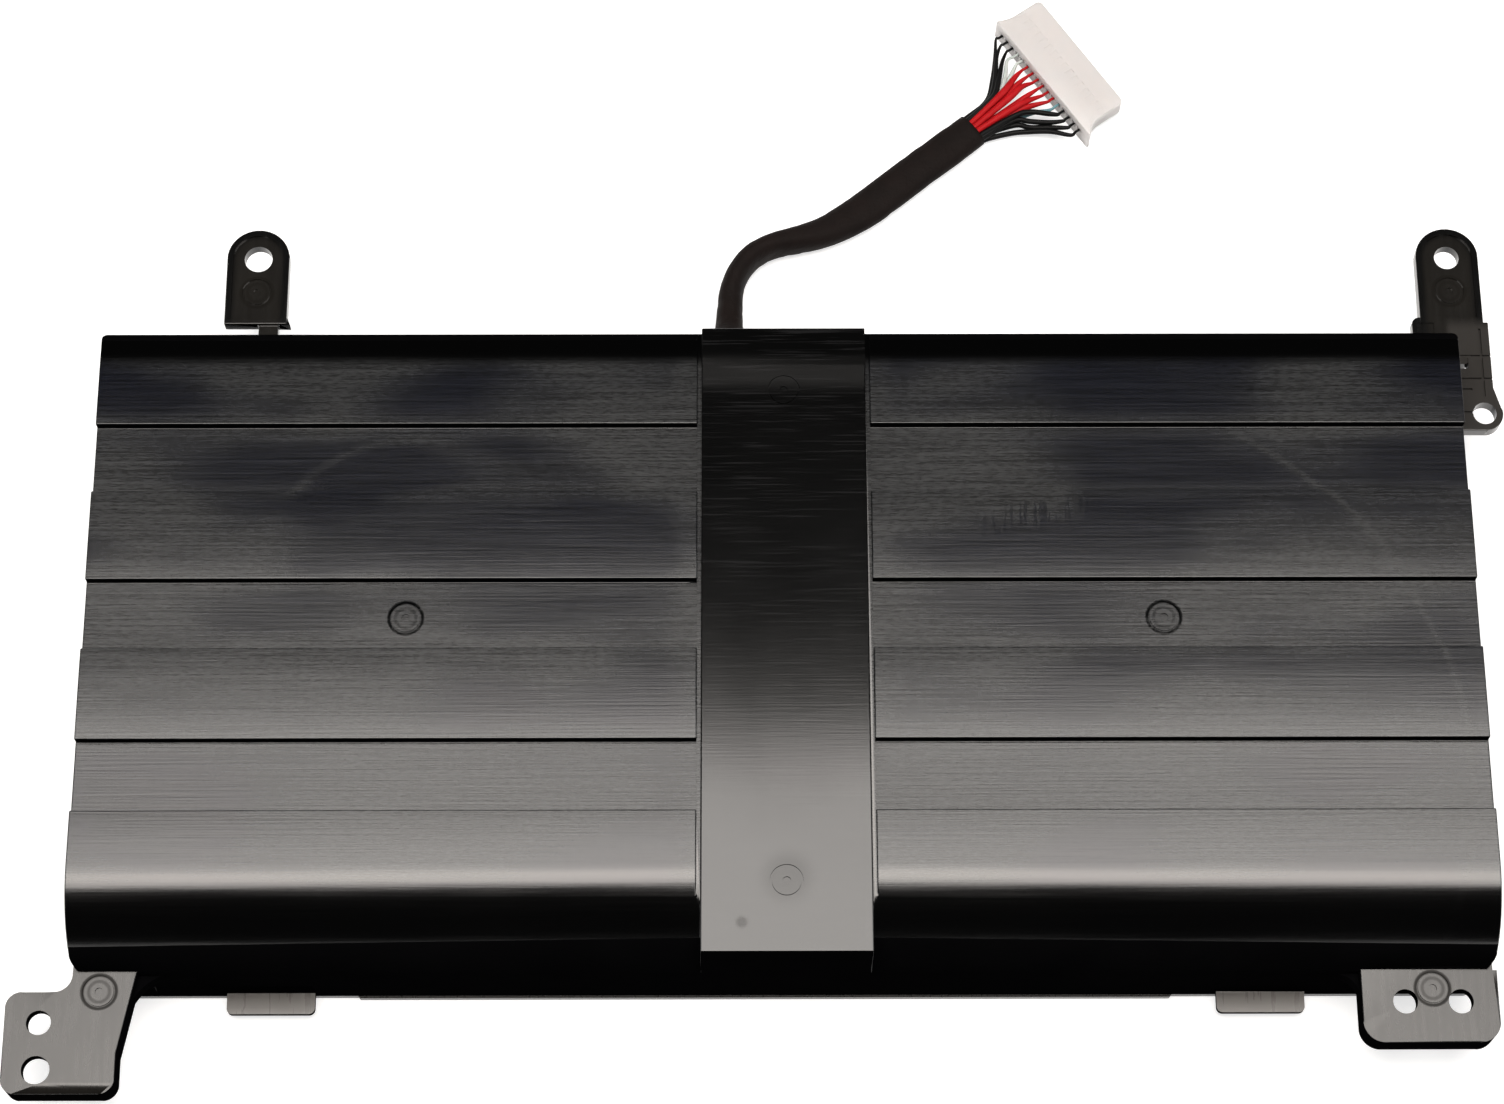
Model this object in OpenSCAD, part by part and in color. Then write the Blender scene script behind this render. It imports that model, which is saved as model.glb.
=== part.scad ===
// Internal battery pack of a laptop computer.
// A ribbed cover with screw ears and tabs closes on a flat base around two columns of
// cylindrical cells. A protection board lies between the columns, and a short sleeved
// cable with a flat plug leaves the far long wall.
// The pack lies ribbed face up: X runs along it, +Y points to the cable side, Z is up.

/* [Cells] */
// Diameter of one cell
cell_d = 18.3; // [17.6:0.1:19]
// Length of one cell from its base to its button
cell_len = 65.2; // [60:0.1:70]
// Air between neighbouring cells of a column
cell_gap = 0.25; // [0.15:0.05:0.6]
// Air between a cell and the floor, the roof and the cradles
cell_clear = 0.1; // [0.05:0.05:0.25]
// Depth of the crimp bead near a cell's button end
bead_depth = 0.5; // [0.2:0.1:0.8]
// Diameter of a cell's button
button_d = 8; // [6:0.5:10]
// Height of a cell's button above its can
button_h = 0.7; // [0.4:0.1:1]

/* [Case] */
// Thickness of the cover's walls
wall = 0.9; // [0.8:0.05:1.3]
// Thickness of the base plate
base_t = 1; // [0.8:0.1:1.6]
// Thickness of the cover over the crown of a cell
crown_t = 1.3; // [1.2:0.1:2]
// Thickness of the cover over the valley between two cells
valley_t = 2.2; // [1.8:0.1:3]
// Air between the outer cells and the long walls
side_clear = 0.2; // [0.15:0.05:0.4]
// Room between the cells and the end walls
end_gap = 1.6; // [1.5:0.1:2.5]
// Width of the bay between the two columns of cells
bay_w = 25.4; // [24:0.2:32]
// Radius of the far long edge of the cover
far_r = 2.6; // [1:0.1:4]
// Radius of the upright corners of the cover
corner_r = 1.2; // [0.6:0.1:2]
// Height of the base's rim inside the cover
rim_h = 3; // [2:0.5:4]
// Thickness of the base's rim
rim_t = 0.8; // [0.6:0.1:1]
// Air between the rim and the cover's wall
rim_clear = 0.1; // [0.05:0.05:0.15]

/* [Ribbed face] */
// Height of a land above the low band beside it
rib_h = 1.1; // [0.6:0.1:1.2]
// Width of a land between a step and the next groove
land_w = 11; // [10:0.2:12]
// Extra pitch of the lands over the pitch of the cells
rib_spread = 0.85; // [0.4:0.05:1]
// Distance from the pack's middle cell valley back to the middle groove
groove_back = 3.05; // [2.6:0.05:3.4]
// Radius of a land's shallow crown
land_r = 600; // [400:50:1000]
// Width of the slope along the far edge
far_slope_w = 4.9; // [3.5:0.1:6]
// How far the slope along the far edge falls
far_slope_fall = 0.35; // [0.1:0.05:0.5]
// Width of the flat strip across the face
strip_w = 19.3; // [18:0.1:21]
// Offset of the strip from the pack's middle
strip_x = 0.35; // [-1:0.05:1]
// Width of the channel on each side of the strip
channel_w = 0.5; // [0.3:0.05:0.8]
// Depth of that channel
channel_d = 0.7; // [0.3:0.05:0.7]
// Diameter of an ejector pin mark
mark_d = 3.8; // [3:0.1:4.5]
// Width of the ring of an ejector pin mark
mark_w = 0.25; // [0.15:0.05:0.4]
// Depth of an ejector pin mark
mark_depth = 0.15; // [0.1:0.05:0.2]
// Distance of the strip's marks from the pack's middle
strip_mark_y = 29.9; // [26:0.1:32]
// Distance of the middle low band's marks from the strip's middle
band_mark_x = 43.7; // [30:0.1:60]

/* [Screw ears] */
// Height of the upper face of every ear and tab
ear_z = 12; // [9:0.5:13]
// Thickness of an ear
ear_t = 1.7; // [1.4:0.1:2.4]
// Width of an ear
ear_w = 7.6; // [7:0.1:9]
// Length of an ear from its near edge to its round end
ear_len = 12.6; // [11.5:0.1:15]
// Distance from the far wall to an ear's near edge
ear_off = 4.5; // [3.5:0.1:6]
// Height of the rim round an ear
ear_rim_h = 0.25; // [0.1:0.05:0.4]
// Width of that rim
ear_rim_w = 0.7; // [0.5:0.1:1]
// Middle of the left ear along the pack
ear_left_x = -63.6; // [-70:0.1:-40]
// Diameter of the left ear's screw hole
ear_left_hole = 3.4; // [3:0.1:3.6]
// How far the right ear's middle lies outside the end wall
ear_right_out = 1.3; // [0.5:0.1:2]
// Diameter of the right ear's screw hole
ear_right_hole = 3; // [2.6:0.1:3.4]
// Width of the neck that carries the left ear
neck_w = 2.4; // [2:0.1:4]

/* [Ladder arm] */
// Width of the arm beside the right end wall
arm_w = 5.7; // [5:0.1:6.5]
// Length of the arm back from the right ear
arm_len = 14.2; // [12:0.1:18]
// Diameter of the hole in the arm's ring
ring_hole = 2.8; // [2.4:0.1:3]
// Wall of the ring round that hole
ring_wall = 0.8; // [0.7:0.1:1.2]
// Distance between the cross grooves of the arm
rung_pitch = 3; // [2.5:0.1:3.5]

/* [Tabs] */
// Height of the skirt round a screw tab
tab_h = 3.7; // [3:0.1:4.5]
// Thickness of a screw tab's plate
tab_t = 1.5; // [1.2:0.1:2]
// Thickness of the skirt
skirt_t = 1; // [0.8:0.1:1.4]
// How far the left tab reaches out from the near wall
tab_left_out = 13.9; // [12:0.1:16]
// How far the left tab reaches past the left end wall
tab_left_side = 7.4; // [6.5:0.1:9]
// Width of the left tab at the near wall
tab_left_root = 7.4; // [7:0.1:9]
// Diameter of the left tab's inner screw hole
tab_left_hole_a = 2.8; // [2.4:0.1:3.2]
// Diameter of the left tab's outer screw hole
tab_left_hole_b = 3.2; // [2.4:0.1:3.4]
// Distance between the left tab's holes
tab_left_pitch = 5.4; // [5:0.1:6]
// How far the right tab reaches out from the near wall
tab_right_out = 8.3; // [7.5:0.1:10]
// Width of the right tab
tab_right_w = 15.5; // [14:0.1:18]
// How far the right tab reaches past the right end wall
tab_right_side = 0.5; // [0:0.1:1]
// Diameter of the right tab's screw holes
tab_right_hole = 2.8; // [2.4:0.1:3.2]
// Distance between the right tab's holes
tab_right_pitch = 6.3; // [5.8:0.1:7]
// Width of a locating tongue
tongue_w = 10.2; // [8:0.1:12]
// How far a locating tongue reaches out
tongue_out = 2.5; // [1.5:0.1:3.5]
// Thickness of a locating tongue
tongue_t = 0.75; // [0.6:0.05:1]
// Height of the upper face of a locating tongue
tongue_z = 2.5; // [2:0.1:3]
// Middle of the left tongue along the pack
tongue_left_x = -59.1; // [-62:0.1:-45]
// Middle of the right tongue along the pack
tongue_right_x = 55.3; // [40:0.1:58]
// Length of the lip along the base's near edge
lip_len = 94; // [60:1:96]
// How far that lip stands out
lip_out = 0.25; // [0.1:0.05:0.4]

/* [Board] */
// Width of the protection board
board_w = 18; // [17:0.1:19]
// Distance from the board's far end to the far wall, inside
board_off = 7.2; // [6.8:0.1:9]
// Thickness of the protection board
board_t = 1; // [0.8:0.1:1.2]
// Height of the posts under the board
post_h = 3; // [2.5:0.1:3.5]
// Diameter of a board post
post_d = 3.2; // [2.8:0.1:4]
// Diameter of the locating pin on a post
pin_d = 1.4; // [1:0.1:1.6]
// Air round that pin in its board hole
pin_clear = 0.1; // [0.05:0.05:0.2]
// Thickness of the nickel links
nickel_t = 0.25; // [0.15:0.05:0.3]
// Height of the nickel links
nickel_w = 8; // [6:0.5:9]
// Air between a link and the cells it is welded to
weld_gap = 0.02; // [0.01:0.01:0.05]
// Width of a sense ribbon
ribbon_w = 3; // [2:0.1:3.6]
// Thickness of a sense ribbon
ribbon_t = 0.2; // [0.15:0.05:0.3]

/* [Cable] */
// Diameter of one insulated wire
wire_d = 0.72; // [0.6:0.02:0.8]
// Air between neighbouring wires in the sleeve
wire_gap = 0.02; // [0.01:0.01:0.05]
// Air round the cable sleeve in its slot
slot_clear = 0.2; // [0.15:0.05:0.4]
// Distance between the plug's ways
way_pitch = 1.1; // [1.05:0.01:1.2]
// Depth of the plug along its wires
plug_depth = 6.4; // [6:0.1:8]
// Thickness of the plug
plug_h = 3.6; // [3.2:0.1:4.2]
// Wall of the plug outside its first and last way
plug_side = 0.35; // [0.3:0.05:0.8]
// How far the plug's left lug stands out
lug_a = 0.6; // [0.4:0.1:1]
// How far the plug's right lug stands out
lug_b = 1.8; // [1:0.1:2]

/* [Hidden] */
$fn = 48;
// A cut runs this far past the face it opens
over = 1;
black = [0.06, 0.06, 0.07];

rows = 4;
pitch = cell_d + cell_gap;
axis_z = base_t + cell_clear + cell_d / 2;
bore_r = cell_d / 2 + cell_clear;
case_w = (rows - 1) * pitch + cell_d + 2 * (side_clear + wall);
case_l = 2 * (cell_len + end_gap + wall) + bay_w;
case_h = axis_z + bore_r + crown_t;
near_r = cell_d / 2 + side_clear + wall;
in_w = case_w / 2 - wall;
in_l = case_l / 2 - wall;
cell_x = bay_w / 2;

rib_pitch = pitch + rib_spread;
low_w = rib_pitch - land_w;
low_z = case_h - rib_h;
strip_a = strip_x - strip_w / 2;
strip_b = strip_x + strip_w / 2;

ear_y = case_w / 2 + ear_off;
ear_hole_y = ear_y + ear_len - ear_w / 2;
ear_right_x = case_l / 2 + ear_right_out;
arm_y = ear_y - arm_len;
ring_r = ring_hole / 2 + ring_wall;
ring_x = case_l / 2 + arm_w - ring_wall - ring_hole / 2 + 0.9;
ring_y = arm_y + ring_r;

board_x = strip_x;
board_y = -0.5;
board_z = base_t + post_h;
board_top = board_z + board_t;
board_far = in_w - board_off;
board_len = 2 * (board_far - board_y);
tail_w = 4;
part_gap = 0.6;
pad_t = 0.1;
pad_row = 1.8;
pad_col = 1.2;
pin_x = board_w / 2 - 1.6;
pin_y = board_len / 2 - 8.2;

// The sleeve runs straight out of its slot, comes down to the surface that the pack
// lies on, turns on edge and lies flat to where the wires fan out. Each point holds
// X, the distance out from the far wall, Z, the sleeve's half width and its half height.
slot_x = -6.1;
slot_z = 6.9;
route = [
    [slot_x, -2.6, slot_z, 1.9, 1.8],
    [slot_x, 0.4, slot_z, 1.9, 1.8],
    [slot_x, 2.4, 6.6, 1.9, 1.8],
    [slot_x, 4.4, 5.5, 1.8, 1.9],
    [slot_x, 6.4, 4.1, 1.8, 1.9],
    [slot_x, 8.4, 3, 1.7, 2.1],
    [-6, 10.9, 2.5, 1.6, 2.2],
    [-5.8, 13.3, 2.4, 1.5, 2.3],
    [-4.9, 15.9, 2.4, 1.4, 2.3],
    [-3.2, 18.1, 2.4, 1.4, 2.3],
    [-0.7, 19.6, 2.3, 1.4, 2.2],
    [2.2, 20.5, 2.1, 1.6, 2],
    [5.6, 21.7, 1.8, 1.9, 1.7],
    [8.6, 23.4, 1.6, 2.2, 1.5],
    [11.6, 25.5, 1.5, 2.4, 1.4],
    [15, 28.3, 1.5, 2.4, 1.4],
    [18.4, 31.1, 1.5, 2.4, 1.4],
    [21.8, 33.8, 1.5, 2.4, 1.4],
    [24.9, 36.3, 1.5, 2.3, 1.4]
];
sleeve_route = [for (p = route) p + [0, case_w / 2, 0, 0, 0]];
// Direction in which the wires leave the sleeve, and the one in which they enter the plug
fan_turn = 38.9;
plug_turn = 34.8;
plug_x = 33.7;
plug_y = case_w / 2 + 43;
ways = 16;
plug_w = (ways - 1) * way_pitch + wire_d + 2 * plug_side;
way_z = plug_h / 2;
window_h = 0.4;
way_hole = wire_d + 0.12;
wire_in = 0.8;
fan_from = sleeve_route[len(sleeve_route) - 1];

// Wire colours from the plug's first way to its last
wire_set = ["black", "black", "black", "white", "white", "red", "red", "red",
            "red", "red", "red", "blue", "black", "black", "black", "black"];

function row_y(i) = ((rows - 1) / 2 - i) * pitch;
function groove_y(k) = pitch / 2 - groove_back + (rows / 2 - 1 - k) * rib_pitch;
function step_y(k) = groove_y(k) - low_w;
function bezier(p, q, r, s, t) =
    pow(1 - t, 3) * p + 3 * pow(1 - t, 2) * t * q + 3 * (1 - t) * t * t * r + t * t * t * s;
function unit(v) = v / norm(v);

// An outline in Y and Z, drawn out along X from x0 to x1
module along_x(x0, x1) {
    translate([x0, 0, 0]) rotate([90, 0, 90]) linear_extrude(x1 - x0) children();
}

// A rectangle with round corners from corner a to corner b
module round_rect(a, b, r) {
    translate([a[0] + r, a[1]]) square([b[0] - a[0] - 2 * r, b[1] - a[1]]);
    translate([a[0], a[1] + r]) square([b[0] - a[0], b[1] - a[1] - 2 * r]);
    for (x = [a[0] + r, b[0] - r], y = [a[1] + r, b[1] - r]) translate([x, y]) circle(r);
}

// A straight round rod from p to q
module rod(p, q, d) {
    v = q - p;
    translate(p) rotate([0, acos(v[2] / norm(v)), atan2(v[1], v[0])])
        cylinder(h = norm(v), d = d, $fn = 16);
}

// The ring and centre dimple that an ejector pin leaves, cut down from height z
module ejector_mark(x, y, z, d = mark_d) {
    translate([x, y, z - mark_depth]) {
        difference() {
            cylinder(h = over, d = d);
            translate([0, 0, -over]) cylinder(h = 3 * over, d = d - 2 * mark_w);
        }
        cylinder(h = over, d = d / 4);
    }
}

// Sweep rings of points, one polygon of sides points per ring, into one closed tube
module tube(rings) {
    n = len(rings);
    m = len(rings[0]);
    polyhedron(
        points = [for (r = rings) each r],
        faces = concat(
            [[for (j = [0 : m - 1]) j]],
            [for (i = [0 : n - 2], j = [0 : m - 1])
                [i * m + j, (i + 1) * m + j, (i + 1) * m + (j + 1) % m, i * m + (j + 1) % m]],
            [[for (j = [m - 1 : -1 : 0]) (n - 1) * m + j]]),
        convexity = 6);
}

// One oval ring round point p, square to direction d: a is the half width, b the half height
function ring(p, d, a, b, m) =
    let (side = unit([d[1], -d[0], 0]), up = cross(side, unit(d)))
    [for (j = [0 : m - 1]) p + a * cos(360 * j / m) * side + b * sin(360 * j / m) * up];

// Direction of a route at its point i
function heading(pts, i) =
    unit(pts[min(i + 1, len(pts) - 1)] - pts[max(i - 1, 0)]);

function route_rings(pts, half, m) =
    [for (i = [0 : len(pts) - 1]) ring(pts[i], heading(pts, i), half[i][0], half[i][1], m)];

// Outer outline of the cover across the pack: a small round at the far edge, and at the
// near edge a large one that follows the outer cell
module cover_outline() {
    translate([-case_w / 2, base_t]) square([case_w, case_h - near_r - base_t]);
    translate([-case_w / 2 + near_r, base_t]) square([case_w - near_r - far_r, case_h - base_t]);
    translate([0, base_t]) square([case_w / 2, case_h - far_r - base_t]);
    translate([-case_w / 2 + near_r, case_h - near_r]) circle(near_r, $fn = 96);
    translate([case_w / 2 - far_r, case_h - far_r]) circle(far_r);
}

// What the ribbed face loses beside the strip: the low bands between the lands, the crown
// of the two middle lands and the slope along the far edge
module rib_cuts() {
    for (k = [0 : rows - 2]) translate([step_y(k), low_z]) square([low_w, rib_h + over]);
    for (k = [1 : rows - 2]) crown_cut(groove_y(k), step_y(k - 1));
    far_slope();
}

// What a land loses to its crown between its groove at y0 and its step at y1
module crown_cut(y0, y1) {
    difference() {
        translate([y0 - 0.01, low_z]) square([y1 - y0 + 0.02, rib_h + over]);
        translate([(y0 + y1) / 2, case_h - land_r]) circle(land_r, $fn = 1440);
    }
}

module far_slope() {
    polygon([[case_w / 2 - far_slope_w, case_h], [case_w / 2 + over, case_h - far_slope_fall],
             [case_w / 2 + over, case_h + over], [case_w / 2 - far_slope_w, case_h + over]]);
}

// Room for the cells: a round channel for each row, and a box between them
module cell_room() {
    translate([-in_w, base_t - over]) square([2 * in_w, axis_z - base_t + over]);
    translate([row_y(rows - 1), base_t]) square([in_w - row_y(rows - 1), low_z - valley_t - base_t]);
    for (i = [0 : rows - 1]) translate([row_y(i), axis_z]) circle(bore_r, $fn = 96);
}

// Outline of an ear: a straight root and a half-round end, inset by e
module ear_outline(x, e = 0) {
    translate([x - ear_w / 2 + e, ear_y + e]) square([ear_w - 2 * e, ear_len - ear_w / 2 - e]);
    translate([x, ear_hole_y]) circle(ear_w / 2 - e);
}

module ear(x, hole) {
    difference() {
        translate([0, 0, ear_z - ear_t]) linear_extrude(ear_t) ear_outline(x);
        translate([0, 0, ear_z - ear_rim_h]) linear_extrude(over) ear_outline(x, ear_rim_w);
        translate([x, ear_hole_y, ear_z - ear_t - over]) cylinder(h = ear_t + 2 * over, d = hole);
        ejector_mark(x, ear_hole_y - ear_w * 0.59, ear_z - ear_rim_h, ear_w * 0.48);
    }
}

// The left ear stands off the wall on a narrow neck near its right side
module left_ear() {
    ear(ear_left_x, ear_left_hole);
    x = ear_left_x + ear_w / 2 - 1;
    translate([x - neck_w, case_w / 2 - wall, ear_z - ear_t])
        cube([neck_w, ear_off + 2 * wall, ear_t - ear_rim_h]);
    // toe beside the neck
    translate([0, 0, ear_z - ear_t]) linear_extrude(ear_t - ear_rim_h)
        polygon([[ear_left_x + ear_w / 2 - 1, ear_y], [ear_left_x + ear_w / 2 + 0.4, ear_y],
                 [ear_left_x + ear_w / 2 - 0.1, ear_y + 1.2]]);
}

// The right ear is carried by the arm along the end wall and by a web on the far wall
module right_ear() {
    ear(ear_right_x, ear_right_hole);
    web_x = ear_right_x - ear_w / 2 - 1;
    web_r = 0.9;
    translate([0, 0, ear_z - ear_t]) linear_extrude(ear_t - ear_rim_h) {
        round_rect([web_x, case_w / 2 - wall], [ear_right_x + 2, ear_y + 0.8], web_r);
        translate([web_x + web_r, case_w / 2 - wall])
            square([ear_right_x - web_x, wall + 0.5]);
    }
}

// The arm beside the end wall: a plate with cross grooves and one long groove, a slot
// through it near the wall, and a ring at its end
module arm() {
    outer_x = case_l / 2 + arm_w;
    rung_y = ear_y - 4.6;
    groove_w = 0.3;
    groove_z = ear_z - 0.4;
    slot = [1.7, 1.5];
    difference() {
        translate([0, 0, ear_z - ear_t]) linear_extrude(ear_t) {
            translate([case_l / 2 - wall, ring_y]) square([arm_w + wall, ear_y - ring_y]);
            translate([case_l / 2 - wall, ring_y - ring_r])
                square([ring_x - case_l / 2 + wall, ring_r]);
            translate([ring_x, ring_y]) circle(ring_r);
            // the outer edge blends into the ring, which bulges past it
            polygon([[outer_x, ring_y + 3.4], [outer_x, ring_y],
                     [ring_x + ring_r * 0.94, ring_y + ring_r * 0.34]]);
        }
        translate([ring_x, ring_y, ear_z - ear_t - over]) cylinder(h = ear_t + 2 * over, d = ring_hole);
        // cross grooves
        for (i = [0 : 1]) translate([case_l / 2, rung_y - i * rung_pitch, groove_z])
            cube([arm_w + over, groove_w, over]);
        // short ticks near the wall
        for (y = [ring_y, ring_y + rung_pitch]) translate([case_l / 2, y, groove_z])
            cube([arm_w * 0.55, groove_w, over]);
        // long groove
        translate([outer_x - 1.3, ring_y + ring_r, groove_z])
            cube([groove_w, ear_y - ring_y - ring_r - 0.8, over]);
        // slot through the plate, beside the first cross groove
        translate([case_l / 2 + 1.2, rung_y - slot[1], ear_z - ear_t - over])
            cube([slot[0], slot[1], ear_t + 2 * over]);
    }
}

// The left screw tab: a plate with a slanted right side and a skirt under its edge
module left_tab() {
    // round of the plate's corners, and of the concave corner at the end wall
    round_r = 1.8;
    fillet = 2;
    x0 = -case_l / 2 - tab_left_side;
    y0 = -case_w / 2 - tab_left_out;
    y1 = -case_w / 2 - fillet - 0.2;
    // the right side leans from xr at the wall to xe at the plate's end
    xr = -case_l / 2 + tab_left_root;
    xe = xr - 3.2;
    hole_x = x0 + 3.9;
    hole_y = y0 + 2.75;
    difference() {
        translate([0, 0, ear_z - tab_h]) linear_extrude(tab_h) {
            round_rect([x0, y0], [xe + 1.2, y1], round_r);
            polygon([[x0 + 4, y0 + 4], [xe - 1, y0 + 0.3], [xe + 0.6, y0 + 1.6],
                     [xr, -case_w / 2 + wall], [-case_l / 2, -case_w / 2 + wall], [-case_l / 2, y1]]);
            difference() {
                translate([-case_l / 2 - fillet, y1 - 0.5]) square([fillet + 0.5, fillet + 0.7]);
                translate([-case_l / 2 - fillet, y1 + fillet]) circle(fillet);
            }
        }
        // hollow under the plate
        translate([0, 0, ear_z - tab_h - over]) linear_extrude(tab_h - tab_t + over)
            round_rect([x0 + skirt_t, y0 + skirt_t], [xe - 1.6, y1 - skirt_t], round_r / 2);
        translate([hole_x, hole_y, ear_z - tab_h - over])
            cylinder(h = tab_h + 2 * over, d = tab_left_hole_b);
        translate([hole_x, hole_y + tab_left_pitch, ear_z - tab_h - over])
            cylinder(h = tab_h + 2 * over, d = tab_left_hole_a);
        ejector_mark(-case_l / 2 + 3.1, y1, ear_z);
    }
    root_flare(xr - 1.6, 1, 4, 6);
}

// The right screw tab: a rounded plate with two holes side by side and a skirt
module right_tab() {
    x1 = case_l / 2 + tab_right_side;
    x0 = x1 - tab_right_w;
    y0 = -case_w / 2 - tab_right_out;
    hole_y = -case_w / 2 - 3.6;
    mid_x = x1 - tab_right_w / 2;
    difference() {
        translate([0, 0, ear_z - tab_h]) linear_extrude(tab_h) {
            round_rect([x0, y0], [x1, -case_w / 2], 2.4);
            translate([x0, -case_w / 2 - 3]) square([tab_right_w - tab_right_side, 3 + wall]);
            translate([x1 - 1, -case_w / 2 - 3]) square([1, 3]);
        }
        translate([0, 0, ear_z - tab_h - over]) linear_extrude(tab_h - tab_t + over)
            round_rect([x0 + skirt_t, y0 + skirt_t], [x1 - skirt_t, -case_w / 2 - skirt_t], 1.4);
        for (s = [-1, 1]) translate([mid_x + 0.3 + s * tab_right_pitch / 2, hole_y, ear_z - tab_h - over])
            cylinder(h = tab_h + 2 * over, d = tab_right_hole);
        ejector_mark(mid_x + 0.3, hole_y + 1.5, ear_z);
    }
    root_flare(x0 + 0.2, -1, 3, 3);
}

// Radius of a concave flare that widens by reach along run, and starts straight
function flare_r(reach, run) = (reach * reach + run * run) / (2 * reach);

// A concave flare low on the near wall at the root of a tab, to the side that s gives
module root_flare(x, s, reach, run) {
    r = flare_r(reach, run);
    translate([x, -case_w / 2, ear_z - tab_h]) linear_extrude(tab_h * 0.6) difference() {
        translate([s > 0 ? -0.5 : -reach, -run]) square([reach + 0.5, run + wall / 2]);
        translate([s * r, -run]) circle(r);
    }
}

// A thin tongue low on the near wall that slides under a bracket of the computer
module tongue(x) {
    translate([0, 0, tongue_z - tongue_t]) linear_extrude(tongue_t) {
        round_rect([x - tongue_w / 2, -case_w / 2 - tongue_out], [x + tongue_w / 2, -case_w / 2], 0.7);
        translate([x - tongue_w / 2, -case_w / 2 - tongue_out / 2])
            square([tongue_w, tongue_out / 2 + wall / 2]);
    }
}

module cover() {
    color(black) difference() {
        union() {
            intersection() {
                along_x(-case_l / 2, case_l / 2) cover_outline();
                linear_extrude(case_h + over)
                    round_rect([-case_l / 2, -case_w / 2], [case_l / 2, case_w / 2], corner_r);
            }
            translate([strip_a, -case_w / 2, base_t]) cube([strip_w, case_w, case_h - base_t]);
            left_ear();
            right_ear();
            arm();
            left_tab();
            right_tab();
            tongue(tongue_left_x);
            tongue(tongue_right_x);
        }
        along_x(-case_l / 2 - over, strip_a - channel_w) rib_cuts();
        along_x(strip_b + channel_w, case_l / 2 + over) rib_cuts();
        along_x(strip_a - over, strip_b + over) far_slope();
        for (x = [strip_a - channel_w, strip_b])
            translate([x, -case_w / 2 - over, case_h - channel_d])
                cube([channel_w, case_w + 2 * over, channel_d + over]);
        along_x(-in_l, in_l) cell_room();
        // the bay under the strip
        translate([strip_a + 1, -in_w, base_t]) cube([strip_w - 2, 2 * in_w, case_h - crown_t - base_t]);
        // light relief low on the near wall beside the left tongue
        along_x(tongue_left_x - tongue_w / 2 - 8, tongue_left_x + tongue_w / 2)
            polygon([[-case_w / 2 - over, tongue_z], [-case_w / 2, tongue_z],
                     [-case_w / 2 + wall / 2, tongue_z + 3], [-case_w / 2 - over, tongue_z + 3]]);
        cable_slot();
        for (s = [-1, 1]) {
            ejector_mark(strip_x, s * strip_mark_y, case_h);
            ejector_mark(strip_x + s * band_mark_x, groove_y(1) - low_w * 0.53, low_z);
        }
    }
}

// The notch in the far wall that the cable leaves by, open at its foot
module cable_slot() {
    r = sleeve_route[0][3] + slot_clear;
    translate([slot_x, in_w - over, slot_z]) rotate([-90, 0, 0]) cylinder(h = wall + 2 * over, r = r);
    translate([slot_x - r, in_w - over, base_t - over])
        cube([2 * r, wall + 2 * over, slot_z - base_t + over]);
}

// The base: a plate with a rim inside the cover, cradles under the cells, posts for the
// board, a block that closes the foot of the cable slot and a lip along the near edge
module base() {
    rim_l = in_l - rim_clear;
    rim_w = in_w - rim_clear;
    block_w = 2 * (sleeve_route[0][3] + slot_clear - 0.1);
    lip_a = -lip_len / 2 - 2;
    color(black) {
        difference() {
            union() {
                linear_extrude(base_t)
                    round_rect([-case_l / 2, -case_w / 2], [case_l / 2, case_w / 2], corner_r);
                translate([-rim_l, -rim_w, 0]) cube([2 * rim_l, 2 * rim_w, base_t + rim_h]);
                linear_extrude(base_t - 0.1)
                    polygon([[lip_a - 1, -case_w / 2 + wall], [lip_a, -case_w / 2 - lip_out],
                             [lip_a + lip_len, -case_w / 2 - lip_out],
                             [lip_a + lip_len + 1, -case_w / 2 + wall]]);
            }
            difference() {
                translate([-rim_l + rim_t, -rim_w + rim_t, base_t])
                    cube([2 * (rim_l - rim_t), 2 * (rim_w - rim_t), rim_h + over]);
                cradles();
            }
            for (x = [-cell_x - cell_len, cell_x]) along_x(x, x + cell_len) row_bores();
            translate([slot_x - block_w / 2 - 0.5, rim_w - rim_t - over, base_t])
                cube([block_w + 1, rim_t + 2 * over, rim_h + over]);
            for (x = [-1, 1], y = [-1, 1])
                mirror([0, 0, 1]) ejector_mark(x * case_l / 3, y * case_w / 4, 0);
        }
        posts();
        translate([slot_x - block_w / 2, in_w + 0.05, base_t - 0.1])
            cube([block_w, wall - 0.1, slot_z - sleeve_route[0][4] - base_t - 0.05]);
    }
}

// Cross ribs of the base, before the cells' round beds are cut
module cradles() {
    for (s = [-1, 1], f = [0.2, 0.8])
        translate([s * (cell_x + f * cell_len) - 0.6, -in_w, base_t])
            cube([1.2, 2 * in_w, rim_h + over / 2]);
}

// The cells' round beds
module row_bores() {
    for (i = [0 : rows - 1]) translate([row_y(i), axis_z]) circle(bore_r, $fn = 96);
}

// Posts under the board's corners, each with a locating pin
module posts() {
    foot = base_t / 2;
    for (x = [-1, 1], y = [-1, 1])
        translate([board_x + x * pin_x, board_y + y * pin_y, base_t - foot]) {
            cylinder(h = foot + post_h, d = post_d);
            cylinder(h = foot + post_h + board_t + 0.4, d = pin_d);
        }
}

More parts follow.
